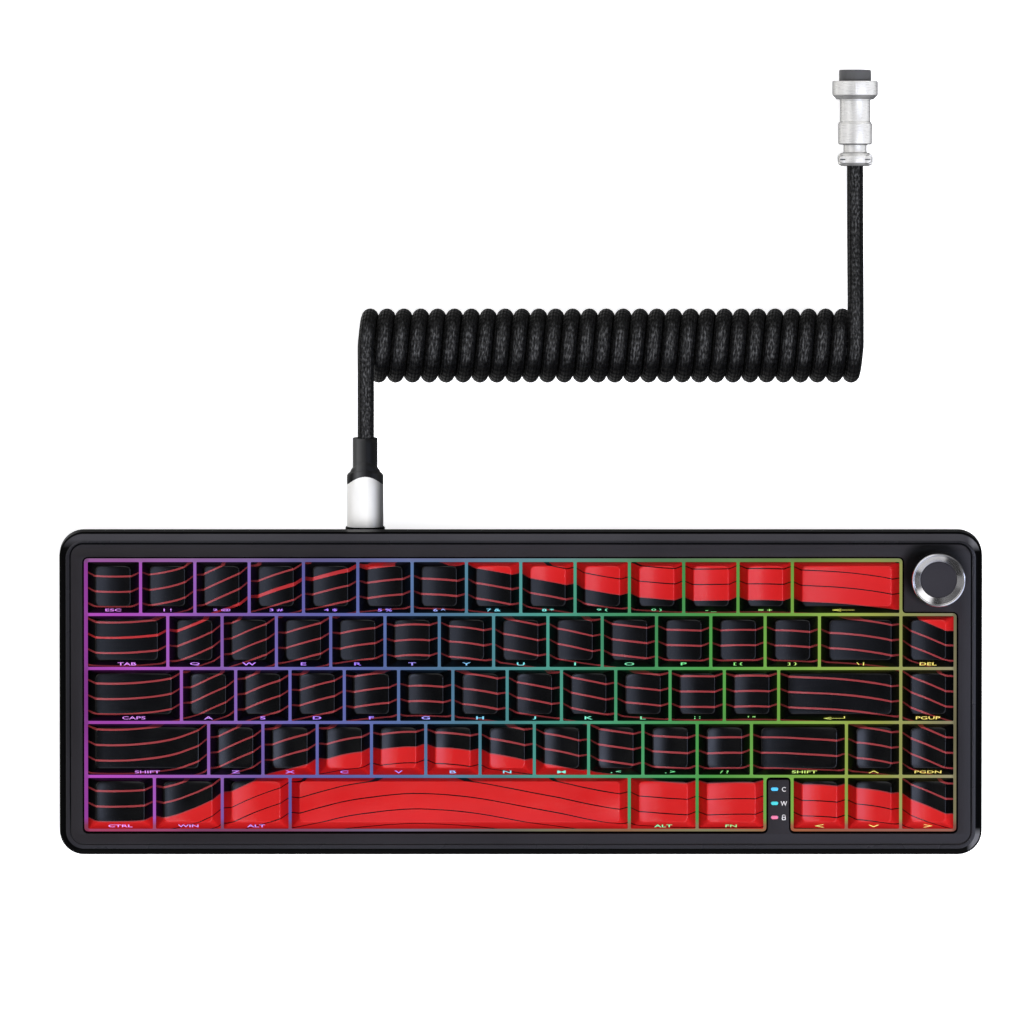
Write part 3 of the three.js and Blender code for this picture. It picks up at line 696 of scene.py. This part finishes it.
def bar(shape, *sections, caps=(True, True)):
    """Lofts rounded sections square to the deck's y, each (width, height, y, bow, radius).

    A section's bow carries its middle further back than its sides.
    """
    rings = []
    for width, height, y, *more in sections:
        bow, r = (more + [0, height / 2 - 0.01][len(more) :])[:2]
        ring = []
        for p in rect(-width / 2, width / 2, -height / 2, height / 2, r, 7, 3):
            back = y + bow * (1 - (2 * p.x / width) ** 2)
            ring.append(Vector((PLUG_X + p.x, back, PORT_Z + p.y)))
        rings.append(ring)
    shape.loft(rings, caps=caps)


def usb_plug():
    wide, high, front, end, bow = PLUG_WIDTH, PLUG_HEIGHT, PLUG_FRONT, BARREL_END, BARREL_BOW
    shape = Shape()
    bar(
        shape,
        (wide - 0.4, 9, front), (wide, high, front + 0.2),
        *((wide, high, front + i * 3) for i in (1, 2, 3, 4)),
        (wide, high, end - 0.3, bow), (wide - 0.25, 9.15, end, bow), (wide - 1.2, 8.2, end, bow),
    )
    nose = (7.7, 1.8, front - 9, 0, 0.8), (8.2, 2.3, front - 8.6, 0, 1.1)
    bar(shape, *nose, (8.2, 2.3, front + 0.2, 0, 1.1))
    piece("usb_plug_barrel", shape, "plug", "bright_metal", ["usb_plug"])


def strain_relief():
    wide, high, start, bow = PLUG_WIDTH, PLUG_HEIGHT, BARREL_END, BARREL_BOW
    shoulder = start + 5.1
    straight = SLEEVE_END - shoulder - 0.6
    sleeve = []
    for i in range(7):
        size = 8.7 if i else 8.7 - 0.1
        sleeve.append((size, size, shoulder + 0.35 + straight * i / 6, 0, 4.3))
    shape = Shape()
    bar(
        shape,
        (wide - 1.4, 8, start - 0.4, bow), (wide - 0.12, 9.28, start + 0.04, bow),
        (wide, high, start + 0.2, 3), (wide, high, start + 3.1, 1.3),
        (wide - 0.5, 9.35, start + 3.7, 1.2), (10.4, 9.1, start + 4.5, 0.6, 4.4),
        (9, 8.85, shoulder, 0.3, 4.3), *sleeve, (8.4, 8.4, SLEEVE_END, 0, 4.19),
        (5.9, 5.9, SLEEVE_END, 0, 2.94), (5.7, 5.7, SLEEVE_END - 2, 0, 2.84),
    )
    # A low oval step where the sleeve leaves the collar.
    bar(
        shape,
        (10.8, 8.6, shoulder - 1.4, 1.2, 4.2), (10.3, 9.15, shoulder - 0.2, 1.5, 4.4),
        (9.3, 9.1, shoulder + 0.5, 2.2, 4.4), (8.6, 8.6, shoulder + 0.9, 2.3, 4.2),
    )
    piece("cable_sleeve", shape, "sleeve", "rubber", ["cable_strain_relief"])


def port_frame():
    """The lip round the socket at the back of the case."""
    shape = Shape()
    outer, edge, inner = (13.9, 10.5), (13.5, 10.1), (13, 9.6)
    rings = (*outer, 56.3), (*outer, 57.6), (*edge, 57.85), (*inner, 57.85), (*inner, 56.4)
    bar(shape, *rings, caps=OPEN)
    piece("port_frame", shape, "rim", "case_plastic")


# ---- Round connector ----

ALONG_TAIL = Matrix.Translation((COIL_END, AVIATOR_START, AVIATOR_AXIS))
ALONG_TAIL = ALONG_TAIL @ Matrix.Rotation(-pi / 2, 4, "X")


def aviator():
    shell = Shape()
    profile = [(2.95, 0.6), (3.1, 0), (5.1, 0), (6.15, 1.1), (6.2, 3.3), (5.1, 4.55), (4.05, 4.7)]
    profile += [(4.03, 7.45), (5.6, 7.55), (5.95, 7.9), (5.95, 14.8), (5.65, 15.1), (5.65, 15.35)]
    profile += [(5.3, 15.5), (5.3, 22.9), (5.5, 23.2), (5.5, 30)]
    shell.turned(soften(profile, 0.35, 3), 56)
    screw = [(0.01, 0.9), (1.25, 0.9), (1.55, 0.4), (1.55, -1.2), (0.01, -1.2)]
    slot = [(-1.1, -0.2, 0.92), (1.1, -0.2, 0.92), (1.1, 0.2, 0.92), (-1.1, 0.2, 0.92)]
    for side in (-1, 1):
        # The cord clamp's screws stand beside the neck, one on each side.
        head = Shape()
        head.turned(soften(screw, 0.25, 2), 20)
        head.add(slot, [(0, 1, 2, 3)], mark=1)
        upright = Matrix.Rotation(pi / 2, 4, "X")
        shell.join(head.moved(Matrix.Translation((side * CLAMP_SIDE, -4.15, 2.2)) @ upright))
        middle, rings = side * CLAMP_SIDE, []
        for z, share in ((0.3, 0.85), (0.6, 1), (3.8, 1), (4.1, 0.85)):
            flat = rect(-1.7, 1.7, -1.7, 1.7, 0.8, 3)
            rings.append([Vector((p.x * share + middle, p.y * share - 1.9, z)) for p in flat])
        shell.loft(rings)
    piece("aviator_shell", shell, "nickel screw", "bright_metal", ["aviator_plug"], matrix=ALONG_TAIL)
    insert = Shape()
    rim = [(4.4, 24.6), (5.62, 24.6), (5.65, 33.5), (5.4, 33.8), (4.9, 33.8), (4.7, 33.5), (4.7, 30.2)]
    insert.turned(soften(rim + [(0.6, 30.2)], 0.2, 2), 48)
    piece("aviator_insert", insert, "insert", "rubber", matrix=ALONG_TAIL)
    pins = Shape()
    for k in range(5):
        pin = Shape()
        pin.turned([(0.4, 29.9), (0.4, 32.2), (0.3, 32.6), (0.1, 32.75)], 12)
        angle = 2 * pi * k / 5
        pins.join(pin.moved(2.7 * cos(angle), 2.7 * sin(angle), 0))
    piece("aviator_pins", pins, "gold", "bright_metal", matrix=ALONG_TAIL)
    ring, notch = Shape(), Shape()
    outline = [(6.25, 23.6), (6.4, 23.35), (7.75, 24.7), (8, 25.05), (8, 29.55), (7.8, 29.85)]
    outline += [(7.2, 29.85), (7, 29.5), (6.9, 27.4), (6.25, 27.2)]
    loop = soften(outline, 0.2, 2, closed=True)
    ring.turned(loop + [loop[0]], 72, caps=OPEN)
    notch.loft([at_height(rect(-0.5, 0.5, -0.35, 0.35, 0.2, 2), z) for z in (25.6, 29.2)])
    ring.join(notch.moved(0, -7.75, 0))
    looks = "nickel", "bright_metal"
    piece("aviator_ring", ring, *looks, ["aviator_coupling_ring"], "coupling_ring", ALONG_TAIL)


usb_plug()
strain_relief()
port_frame()
aviator()

# ---- Keycaps ----

# Each row: the height of its tops over the skirt, their slope, and its keys; a + joins the
# keys that share a node. The keys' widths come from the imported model.
ROWS = (
    (9.4, 5, "esc 1+2+3 4+5+6 7+8+9 0+minus+equals backspace"),
    (8.4, 3, "tab q+w e+r t+y u+i o+p lbracket+rbracket backslash delete"),
    (7.8, 0, "caps a+s d+f g+h j+k l+semicolon+quote enter page_up"),
    (8, -4, "lshift z+x+c v+b n+m comma+period+slash rshift up page_down"),
    (8.2, -4, "ctrl win lalt space ralt fn left down right"),
)
# Legends that aren't the key's name in capitals; arrows go by their name in STROKES.
LEGENDS = {
    **{key: f"{key} {sign}" for key, sign in zip("1234567890", "!@#$%^&*()")},
    "minus": "- _", "equals": "= +", "backspace": "<-", "lbracket": "[ {", "rbracket": "] }",
    "backslash": "\\ |", "delete": "DEL", "semicolon": "; :", "quote": "' \"", "enter": "enter",
    "page_up": "PGUP", "page_down": "PGDN", "lshift": "SHIFT", "rshift": "SHIFT",
    "comma": ", <", "period": ". >", "slash": "/ ?", "lalt": "ALT", "ralt": "ALT", "space": "",
    "up": "up", "left": "left", "down": "down", "right": "right",
}
NUDGES = {"rshift": 1.9, "enter": -1.9, "backspace": -1.2}  # legends set off their key's middle
SKIRT, SIDE, FRONT, REAR = 6, 2.85, 3.3, 0.4
DEEP = (PITCH - KEY_GAP) / 2

# Arrow legends as strokes in a box one unit high, joined end to end.
STROKES = {
    "<-": (2, [[(0.75, 0.12), (0, 0.5), (0.75, 0.88)], [(0.1, 0.5), (2, 0.5)]]),
    "enter": (1.9, [[(0.62, 0), (0, 0.35), (0.62, 0.7)], [(0.1, 0.35), (1.9, 0.35), (1.9, 1)]]),
    "up": (0.8, [[(0, 0.15), (0.4, 0.85), (0.8, 0.15)]]),
    "down": (0.8, [[(0, 0.85), (0.4, 0.15), (0.8, 0.85)]]),
    "left": (0.75, [[(0.7, 0), (0.05, 0.5), (0.7, 1)]]),
    "right": (0.75, [[(0.05, 0), (0.7, 0.5), (0.05, 1)]]),
}


def stroke_faces(lines, width):
    points, faces = [], []
    for line in lines:
        for a, b in zip(line, line[1:]):
            a, b = Vector(a), Vector(b)
            along = (b - a).normalized()
            across = Vector((-along.y, along.x)) * width / 2
            a, b = a - along * width / 2, b + along * width / 2
            start = len(points)
            points += [a - across, b - across, b + across, a + across]
            faces.append(range(start, start + 4))
    return points, faces


def lettering(text, scale, height):
    """Flat faces for a legend, centred: its own width times a scale, and a given height."""
    if text in STROKES:
        wide, lines = STROKES[text]
        points, faces = stroke_faces(lines, 0.15 if wide < 1 else 0.1)
        return [Vector(((p.x - wide / 2) * height, (p.y - 0.5) * height)) for p in points], faces
    curve = bpy.data.curves.new("legend", "FONT")
    curve.body = text
    curve.resolution_u = 3
    curve.offset = 0.012
    thing = link("legend", curve)
    seen = thing.evaluated_get(bpy.context.evaluated_depsgraph_get())
    mesh = bpy.data.meshes.new_from_object(seen)
    points = [v.co.copy() for v in mesh.vertices]
    faces = [list(face.vertices) for face in mesh.polygons]
    bpy.data.objects.remove(thing)
    bpy.data.meshes.remove(mesh)
    low = Vector((min(p.x for p in points), min(p.y for p in points)))
    high = Vector((max(p.x for p in points), max(p.y for p in points)))
    # Low signs, such as a dash, keep the height they have beside a full letter.
    tall = max(high.y - low.y, 0.66)
    size = high - low
    middle = (low.y + high.y) / 2 if size.y > 0.5 else 0.35
    flat = [(p.x - low.x - size.x / 2, (p.y - middle) / tall) for p in points]
    return [Vector((x * scale, y * height)) for x, y in flat], faces


def keycap(units, height, slope, legend, crowned=False, nudge=0):
    """Marks: 0 the top, 1 the legend, 2 the post, 3 the flanks and the underside."""
    half = (units * PITCH - KEY_GAP) / 2
    top_half, y0, y1 = half - SIDE, -DEEP + FRONT, DEEP - REAR
    middle, reach = (y0 + y1) / 2, (y1 - y0) / 2
    rise = tan(radians(slope))

    def roof(x, y):
        across, up = min(1, (x / top_half) ** 2), min(1, ((y - middle) / reach) ** 2)
        dip = -0.75 * up if crowned else -0.95 * (1 - across)
        return height + (y - middle) * rise + dip

    def ring(share, extra=0, r=1):
        return rect(
            -half + SIDE * share + extra, half - SIDE * share - extra,
            -DEEP + FRONT * share + extra, DEEP - REAR * share - extra, r, 4, 8,
        )

    foot, brow = ring(0, 0, 0.4), ring(1, 0, 1.75)
    shape = Shape()

    def flank(t):
        return [Vector((*a.lerp(b, t), t * roof(b.x, b.y))) for a, b in zip(foot, brow)]

    rings = [at_height(ring(0, 1.25, 0.5), 0), at_height(ring(0, 0.15, 0.3), 0)]
    rings += [[Vector((p.x, p.y, p.z + 0.15)) for p in flank(0)]]
    rings += [flank(t) for t in (0.25, 0.5, 0.75)]
    start = flank(1 - 0.42 / height)
    inner = [Vector((p.x, p.y, roof(p.x, p.y))) for p in ring(1, 0.42, 1.4)]
    edge = flank(1)
    for t in (0, 0.25, 0.5, 0.75, 1):
        parts = zip(start, edge, inner)
        rings.append([(1 - t) ** 2 * a + 2 * t * (1 - t) * b + t * t * c for a, b, c in parts])
    for share in (0.86, 0.68, 0.5, 0.32, 0.15):
        shrunk = [Vector((p.x * share, middle + (p.y - middle) * share)) for p in inner]
        rings.append([Vector((p.x, p.y, roof(p.x, p.y))) for p in shrunk])
    shape.loft(rings, caps=(False, True), marks=[3] * 7 + [0] * (len(rings) - 8))
    # The hollow underside and the post that grips the switch.
    ceiling = min(roof(0, y0), roof(0, y1)) - 1.5
    hollow = [Vector((p.x, p.y, ceiling)) for p in ring(0.85, 1.3, 0.5)]
    shape.loft([at_height(ring(0, 1.25, 0.5), 0), hollow], 3, (False, True))
    post = [(0.3, -1.8), (2.9, -1.8), (3.1, -1.6), (3.1, ceiling), (0.3, ceiling)]
    shape.turned(post, 20, 2)
    if legend:
        points, faces = lettering(legend, 4.5 if len(legend) == 1 else 3.55, 3.7)
        wall = Vector((0, FRONT, roof(top_half, y0)))
        up = wall.normalized()
        out = Vector((0, -up.z, up.y))
        base = Vector((nudge, -DEEP, 0)) + wall * 0.46
        shape.add([base + Vector((p.x, 0, 0)) + up * p.y + out * 0.05 for p in points], faces, 1)
    return shape


def make_keys():
    for number, (height, slope, nodes) in enumerate(ROWS):
        y = 5 * PITCH / 2 - (number + 0.5) * PITCH
        for keys in nodes.split():
            keys = keys.split("+")
            plural = "s_" if len(keys) > 1 else "_"
            node = "keycap" + plural + "_".join(keys)
            low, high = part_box(node)
            left, right = low[0] / MM - KEY_GAP / 2, high[0] / MM + KEY_GAP / 2
            width = (right - left) / len(keys)
            body = node.replace("keycap", "key")
            for i, name in enumerate(keys):
                legend = LEGENDS.get(name, name.upper())
                nudge = NUDGES.get(name, 0)
                shape = keycap(width / PITCH, height, slope, legend, name == "space", nudge)
                shape.moved(left + (i + 0.5) * width, y, SKIRT)
                shown_for = [node] if i == 0 else ()
                looks = "print legend stem flank"
                piece("key_" + name, shape, looks, "keycap_plastic", shown_for, body)


make_keys()

# ---- Case ----


def outline(inset, rear=None, corner=None, steps=12):
    rear = inset if rear is None else rear
    half = CASE_WIDTH / 2
    r = CASE_CORNER - inset if corner is None else corner
    back, front = CASE_BACK + CASE_DEPTH / 2 - rear, CASE_BACK - CASE_DEPTH / 2 + inset
    return rect(-half + inset, half - inset, front, back, r, steps)


def window():
    """The opening for the keys: short of the knob, and with a tongue for the lights."""
    gap, wider = OPENING_GAPS
    left, top = -8 * PITCH, 2.5 * PITCH
    tongue_left, tongue_right = left + 12.5 * PITCH + gap, left + 13 * PITCH - gap
    front, right, back = -top - gap, -left + gap, top + wider
    knob_left, knob_front, tongue_back = right - PITCH, top - PITCH + gap, -top + PITCH - gap
    corners = [
        (left - wider, front), (tongue_left, front), (tongue_left, tongue_back),
        (tongue_right, tongue_back), (tongue_right, front), (right, front), (right, knob_front),
        (knob_left, knob_front), (knob_left, back), (left - wider, back),
    ]
    return soften(corners, 1.5, 5, closed=True)


def light_window(y, inset=0):
    """One of the pill-shaped windows of the indicator lights."""
    left, right = LIGHT_LEFT + inset, LIGHT_RIGHT - inset
    return rect(left, right, y - 0.7 + inset, y + 0.7 - inset, 0.69 - inset, 5)


def top_case():
    shape = Shape()
    low, turn = SEAM_TOP, 4.9
    rings = [at_height(outline(d), z) for d, z in ((0.25, low), (0, low + 0.25), (0, turn))]
    for k in range(1, 7):
        a = radians(60) * k / 6
        fall = 1 - cos(a)
        rings.append(at_height(outline(1.1 * fall, 0.8 * fall), turn + 1.1 * sin(a)))
    marks = [6, 6] + [0] * (len(rings) - 3)
    # Inset from the sides and front, inset from the back, and height.
    chamfer = [(0.62, 0.7, 5.93), (2.25, 2.95, 7.32), (2.6, 3.2, 7.43), (3.55, 3.62, 7.46)]
    trough = [(3.65, 3.72, 7.38), (3.72, 3.78, 6.95), (3.98, 4.22, 6.95), (4.05, 4.28, 7.4)]
    trough += [(4.2, 4.42, 7.5)]
    rings += [at_height(outline(inset, rear), z) for inset, rear, z in chamfer + trough]
    marks += [0, 5, 1, 1, 2, 2, 2, 2, 1]
    shape.loft(rings, caps=OPEN, marks=marks)
    opening = window()
    holes = [circle(KNOB_X, KNOB_Y, 4.8, 40), *map(light_window, LIGHT_ROWS)]
    shape.sheet([rings[-1], offset(opening, 0.72), *holes], BEZEL_TOP, 3)
    # The opening's inner chamfer and wall take the edge look, painted black as shade.
    wall = [(0.72, 0), (0.62, -0.03), (0.55, -0.12), (0.1, -0.5), (0, -0.8), (0, -2.3), (0.2, -2.5)]
    wall = [(d, BEZEL_TOP + z) for d, z in wall]
    shape.stack(lambda d: offset(opening, d), wall, 0, OPEN, [3, 3, 4, 4, 4, 4])
    for hole in holes:
        shape.stack(lambda _: hole, [(0, BEZEL_TOP), (0, BEZEL_UNDER)], 2, OPEN)
    shape.sheet([outline(3), offset(opening, 0.2), *holes], BEZEL_UNDER, 2)
    shape.stack(outline, [(3, BEZEL_UNDER), (3, low), (0.25, low)], 2, OPEN)
    looks = "rim band groove bezel edge shoulder wall"
    piece("case_top", shape, looks, "case_plastic", ["top_case"])


def bottom_case():
    """Square to the deck at its seam and front, upright at its back, level underneath."""
    shape = Shape()
    seam, floor = SEAM_BOTTOM, 2

    def drop(inset, height):
        """The seam's outline brought down to a height above the desk."""
        ring = []
        for p in outline(inset):
            point = from_deck(p.x, p.y, seam)
            step = (point.z - height) / NORMAL.z
            lean = -NORMAL.y * step if p.y < 0 else 0
            ring.append(Vector((point.x, point.y + lean, height)))
        return ring

    seams = ((0.7, seam), (0.45, seam - 0.3))
    rings = [[from_deck(p.x, p.y, z) for p in outline(inset)] for inset, z in seams]
    rings += [drop(0.45, floor + 2.4)]
    for k in range(1, 7):
        a = pi / 2 * k / 6
        rings.append(drop(0.45 + 2 * (1 - cos(a)), floor + 2.4 - 2.4 * sin(a)))
    shape.loft(rings, caps=(True, False))
    half = FOOT_WIDTH / 2 + 0.5
    wells = [rect(x - half, x + half, 20.6, 46.8, 1, 4) for x in (-FOOT_X, FOOT_X)]
    spots = [(x, y) for x in (-148, -52, 52, 148) for y in (-36, 38)]
    holes = [circle(x, y, 2.9, 24) for x, y in spots]
    flat = [Vector((p.x, p.y)) for p in rings[-1]]
    shape.sheet([flat, *[offset(hollow, 0.25) for hollow in wells + holes]], floor)
    for hollow, top in [(well, 7.2) for well in wells] + [(hole, floor + 2.2) for hole in holes]:
        steps = [(0.25, floor), (0, floor + 0.25), (0, top)]
        shape.stack(lambda d: offset(hollow, d), steps, caps=(False, True))
    piece("case_bottom", shape, "base", "case_plastic", ["bottom_case"], matrix=LEVEL)
    screws = Shape()
    profile = [(1.2, 2.6), (1.25, 2.45), (2.3, 2.45), (2.6, 2.8), (2.6, 4.1), (0.3, 4.1)]
    for x, y in spots:
        head = Shape()
        head.turned(soften(profile, 0.15, 2), 24)
        head.stack(lambda r: circle(0, 0, r, 6), [(1.2, 2.5), (1.15, 3.6)], caps=(False, True))
        screws.join(head.moved(x, y, 0))
    piece("case_screws", screws, "screw", "steel", matrix=LEVEL)


def flip_foot(side):
    body = "flip_foot_left" if side < 0 else "flip_foot_right"
    r, half = FOOT_THICK / 2, FOOT_WIDTH / 2

    def bar_across(flat, slices):
        """Lofts a section along x; each slice is its place and how far it is drawn in."""
        flat = [Vector((FOOT_PIVOT + p.x, FOOT_LIFT + p.y)) for p in flat]
        return [[Vector((side * FOOT_X + x, p.x, p.y)) for p in offset(flat, -d)] for x, d in slices]

    turns = (pi / 2 + pi * k / 10 for k in range(11))
    arc = [(r * cos(a), r * sin(a)) for a in turns]
    tip = [(FOOT_LENGTH - 1.2, -r), (FOOT_LENGTH - 0.2, -r + 1), (FOOT_LENGTH - 0.2, r)]
    slices = [(-half, 0.45), (-half + 0.12, 0.15), (-half + 0.45, 0)]
    slices += [(-x, inset) for x, inset in reversed(slices)]
    shape = Shape()
    shape.loft(bar_across(soften(arc + tip, 0.5, 3, closed=True), slices))
    pin = Shape()
    pin.turned([(1, -half - 1.6), (1.2, -half - 1.4), (1.2, half + 1.4), (1, half + 1.6)], 20)
    pivot = Matrix.Translation((side * FOOT_X, FOOT_PIVOT, FOOT_LIFT))
    shape.join(pin.moved(pivot @ Matrix.Rotation(pi / 2, 4, "Y")))
    # Ribs on the outer face give a fingernail something to catch.
    for k in range(4):
        rib = Shape()
        rib.stack(lambda _: rect(-11, 11, -0.35, 0.35, 0.3, 3), [(0, -0.28), (0, 0.2)])
        shape.join(rib.moved(side * FOOT_X, FOOT_PIVOT + 12.5 + 1.6 * k, FOOT_LIFT - r))
    piece(body + "_leaf", shape, "base", "case_plastic", [body], body, LEVEL)
    grip = Shape()
    cut = soften([(21.3, -1.2), (22, -0.7), (22, 1.5), (21.3, 1.5)], 0.3, 3, closed=True)
    grip.loft(bar_across(cut, ((-13, 0.2), (-12.7, 0), (12.7, 0), (13, 0.2))))
    piece(body + "_grip", grip, "rubber", "rubber", (), body, LEVEL)


def rubber_pad(node, y):
    shape = Shape()
    pad = [(0.5, 0), (0.12, 0.12), (0, 0.5), (0, 1.9)]
    shape.stack(lambda d: rect(-105 + d, 105 - d, y - 3.5 + d, y + 3.5 - d, 3 - d, 8), pad)
    for k in range(-3, 4):
        groove = rect(-103, 103, y + 0.8 * k - 0.15, y + 0.8 * k + 0.15, 0.12, 2)
        shape.stack(lambda _: groove, [(0, 0), (0, 0.1)])
    piece(node + "_piece", shape, "rubber", "rubber", [node], matrix=LEVEL)


top_case()
bottom_case()
flip_foot(-1)
flip_foot(1)
rubber_pad("front_rubber_pad", -47)
rubber_pad("rear_rubber_pad", 52)

# ---- Indicator lights, knob and inner parts ----


def indicators():
    guide = Shape()
    guide.loft([at_height(rect(87.1, 91.1, -45, -31, 0.5, 3), z) for z in (3, 4.4)])
    for number, y in enumerate(LIGHT_ROWS):
        steps = [(0.12, 4), (0.12, 7.3), (0.3, 7.46), (0.55, 7.5)]
        guide.stack(lambda d: light_window(y, d), steps, number)
    looks = "lamp_0 lamp_1 lamp_2"
    piece("indicator_lights", guide, looks, "clear_plastic", ["indicator_light_guide"])
    x, z = 92.35, BEZEL_TOP + 0.02
    signs = Shape()
    for text, y in zip("CW", LIGHT_ROWS):
        points, faces = lettering(text, 2.15, 1.65)
        signs.add([(p.x + x, p.y + y, z) for p in points], faces)
    lock = Shape()
    lock.sheet([rect(-0.7, 0.7, -0.9, 0.25, 0.3, 3), rect(-0.38, 0.38, -0.62, -0.03, 0.2, 3)], z)
    arch = [(-0.5, 0.25), (-0.5, 0.65), (-0.3, 0.95), (0.3, 0.95), (0.5, 0.65), (0.5, 0.25)]
    points, faces = stroke_faces([arch], 0.26)
    lock.add(at_height(points, z), faces)
    signs.join(lock.moved(x, LIGHT_ROWS[2], 0))
    piece("indicator_signs", signs, "white", "clear_plastic")


def knob():
    bottom, top, r = KNOB_BOTTOM, KNOB_TOP, KNOB_RADIUS
    grip = [(r, bottom + 1.2), (r, top - 1.5)]
    profile = [(1, bottom), (8.6, bottom), (9.2, bottom + 0.25), (r, bottom + 0.7), *grip]
    rim = (0, 1), (0.06, 0.35), (0.2, 0.1), (0.42, 0), (0.62, 0.06), (0.8, 0.25), (0.84, 0.42)
    rim += (0.94, 0.45), (0.99, 0.49)
    profile += [(r - inset, top - fall) for inset, fall in rim]
    dish = (6.45, 2.11), (6.4, 2.15), (6.33, 2.3), (6.25, 2.5)
    profile += [(radius, top - fall) for radius, fall in dish]
    shape = Shape()
    shape.turned(profile, 180, ripple=lambda k: 0.16 if profile[k] in grip else 0)
    shape.turned([(1.9, -1.1), (2.15, -0.9), (2.15, bottom + 1)], 24)
    shape.moved(KNOB_X, KNOB_Y, 0)
    piece("knob_rim", shape, "knob", "bright_metal", ["volume_knob"], "knob", sharp=30)
    cap = Shape()
    disc = (6.24, -2.7), (6.24, -2.4), (6.14, -2.3), (4.5, -2.32), (2, -2.34), (0.3, -2.35)
    cap.turned([(radius, top + z) for radius, z in disc], 96)
    cap.moved(KNOB_X, KNOB_Y, 0)
    piece("knob_cap", cap, "knob_cap", "bright_metal", (), "knob")


indicators()
knob()
for node, key in (
    ("switch_plate", "plate"),
    ("circuit_board_and_switches", "board"),
    ("usb_socket", "screw"),
    ("rotary_encoder", "screw"),
    ("encoder_plunger", "screw"),
):
    mesh = frame["nodes"][node].data
    mesh.materials.clear()
    mesh.materials.append(M[key])

# ---- Floor and light ----

floor_mesh = bpy.data.meshes.new("floor")
corners = [(-6, -6, -0.0002), (6, -6, -0.0002), (6, 6, -0.0002), (-6, 6, -0.0002)]
floor_mesh.from_pydata(corners, [], [(0, 1, 2, 3)])
floor = link("floor", floor_mesh)
floor_paint = grained("floor_white", (0.9, 0.9, 0.9), 0.7)
floor_paint.set(Emission_Color=(1, 1, 1, 1), Emission_Strength=0.7)
floor_mesh.materials.append(floor_paint.material)
floor.visible_glossy = False

world = bpy.data.worlds.new("studio")
scene.world = world
world.use_nodes = True
sky = Nodes(world.node_tree)
towards = sky.node("TexCoord").outputs["Generated"]


def sky_patch(brightness, *edges):
    """A soft-edged light: each edge fades in along a direction, from one share to another."""
    value = brightness
    for direction, low, high in edges:
        along = sky.node("VectorMath", {0: towards, 1: direction}, operation="DOT_PRODUCT")
        inputs = {0: along.outputs["Value"], 1: low, 2: high}
        edge = sky.node("MapRange", inputs, interpolation_type="SMOOTHSTEP")
        value = sky.times(edge.outputs[0], value)
    return value


LEFT, RIGHT, AHEAD, BACK = (-1, 0, 0), (1, 0, 0), (0, -1, 0), (0, 1, 0)
UP, DOWN = (0, 0, 1), (0, 0, -1)
plain_patches = [
    sky_patch(0.85, (LEFT, -0.02, 0.2), (BACK, 0, 0.12), (UP, 0.4, 0.55)),
    sky_patch(0.22, (LEFT, 0.9, 0.97), (UP, 0, 0.1)),
    sky_patch(0.12, (RIGHT, 0.9, 0.97), (UP, 0, 0.1)),
    sky_patch(0.07, ((-0.7, 0.7, 0), 0.7, 0.85), (UP, 0, 0.1), (DOWN, -0.5, -0.4)),
    sky_patch(0.5, (LEFT, 0.5, 0.7), (AHEAD, -0.05, 0.05), (AHEAD, 0.7, 0.5), (UP, 0.4, 0.55)),
    sky_patch(0.75, (DOWN, 0.12, 0.3), (LEFT, 0.05, 0.3)),
    sky_patch(0.06, (DOWN, 0.12, 0.3)),
    sky_patch(0.3, (BACK, 0.35, 0.6), (UP, 0.55, 0.7)),
    sky_patch(0.6, ((0.38, -0.92, 0), 0.72, 0.85), (DOWN, -0.5, -0.35), (UP, -0.25, -0.1)),
    sky_patch(1.3, ((0.70, 0.71, 0), 0.80, 0.92), (UP, 0, 0.12), (DOWN, -0.7, -0.55)),
]
cool_patches = [
    sky_patch(0.46, (AHEAD, 0.22, 0.34), (RIGHT, -0.45, 0.3), (UP, 0.4, 0.55)),
    sky_patch(0.60, (RIGHT, 0.02, 0.40), (AHEAD, -0.04, 0.06), (UP, 0.4, 0.55)),
    sky_patch(2.1, (RIGHT, 0.2, 0.45), (AHEAD, 0.2, 0.1), (AHEAD, -0.05, 0.03), (UP, 0.5, 0.7)),
]


def tinted(patches, base, tint):
    total = base
    for patch in patches:
        total = sky.math("ADD", patch, total)
    return sky.scaled(tint, total)


plain, cool = tinted(plain_patches, 0.05, (1, 1, 1)), tinted(cool_patches, 0, (0.86, 0.96, 1.3))
both = sky.node("VectorMath", {0: plain, 1: cool}).outputs[0]
sky.put(sky.tree.nodes["Background"].inputs[0], both)


def fill_sun(name, towards, strength, spread):
    """Soft light for the floor and the matt colours, left out of reflections."""
    lamp = bpy.data.lights.new(name, "SUN")
    lamp.energy, lamp.angle = strength, radians(spread)
    thing = link(name, lamp)
    thing.rotation_euler = Vector(towards).to_track_quat("-Z", "Y").to_euler()
    thing.visible_glossy = False


fill_sun("fill_top", (-0.14, 0.16, -1), 0.7, 15)
fill_sun("fill_right", (-0.3, 0.32, -1), 1.75, 22)
fill_sun("fill_left", (0.5, -0.3, -1), 0.4, 80)
scene.view_settings.view_transform = "Standard"
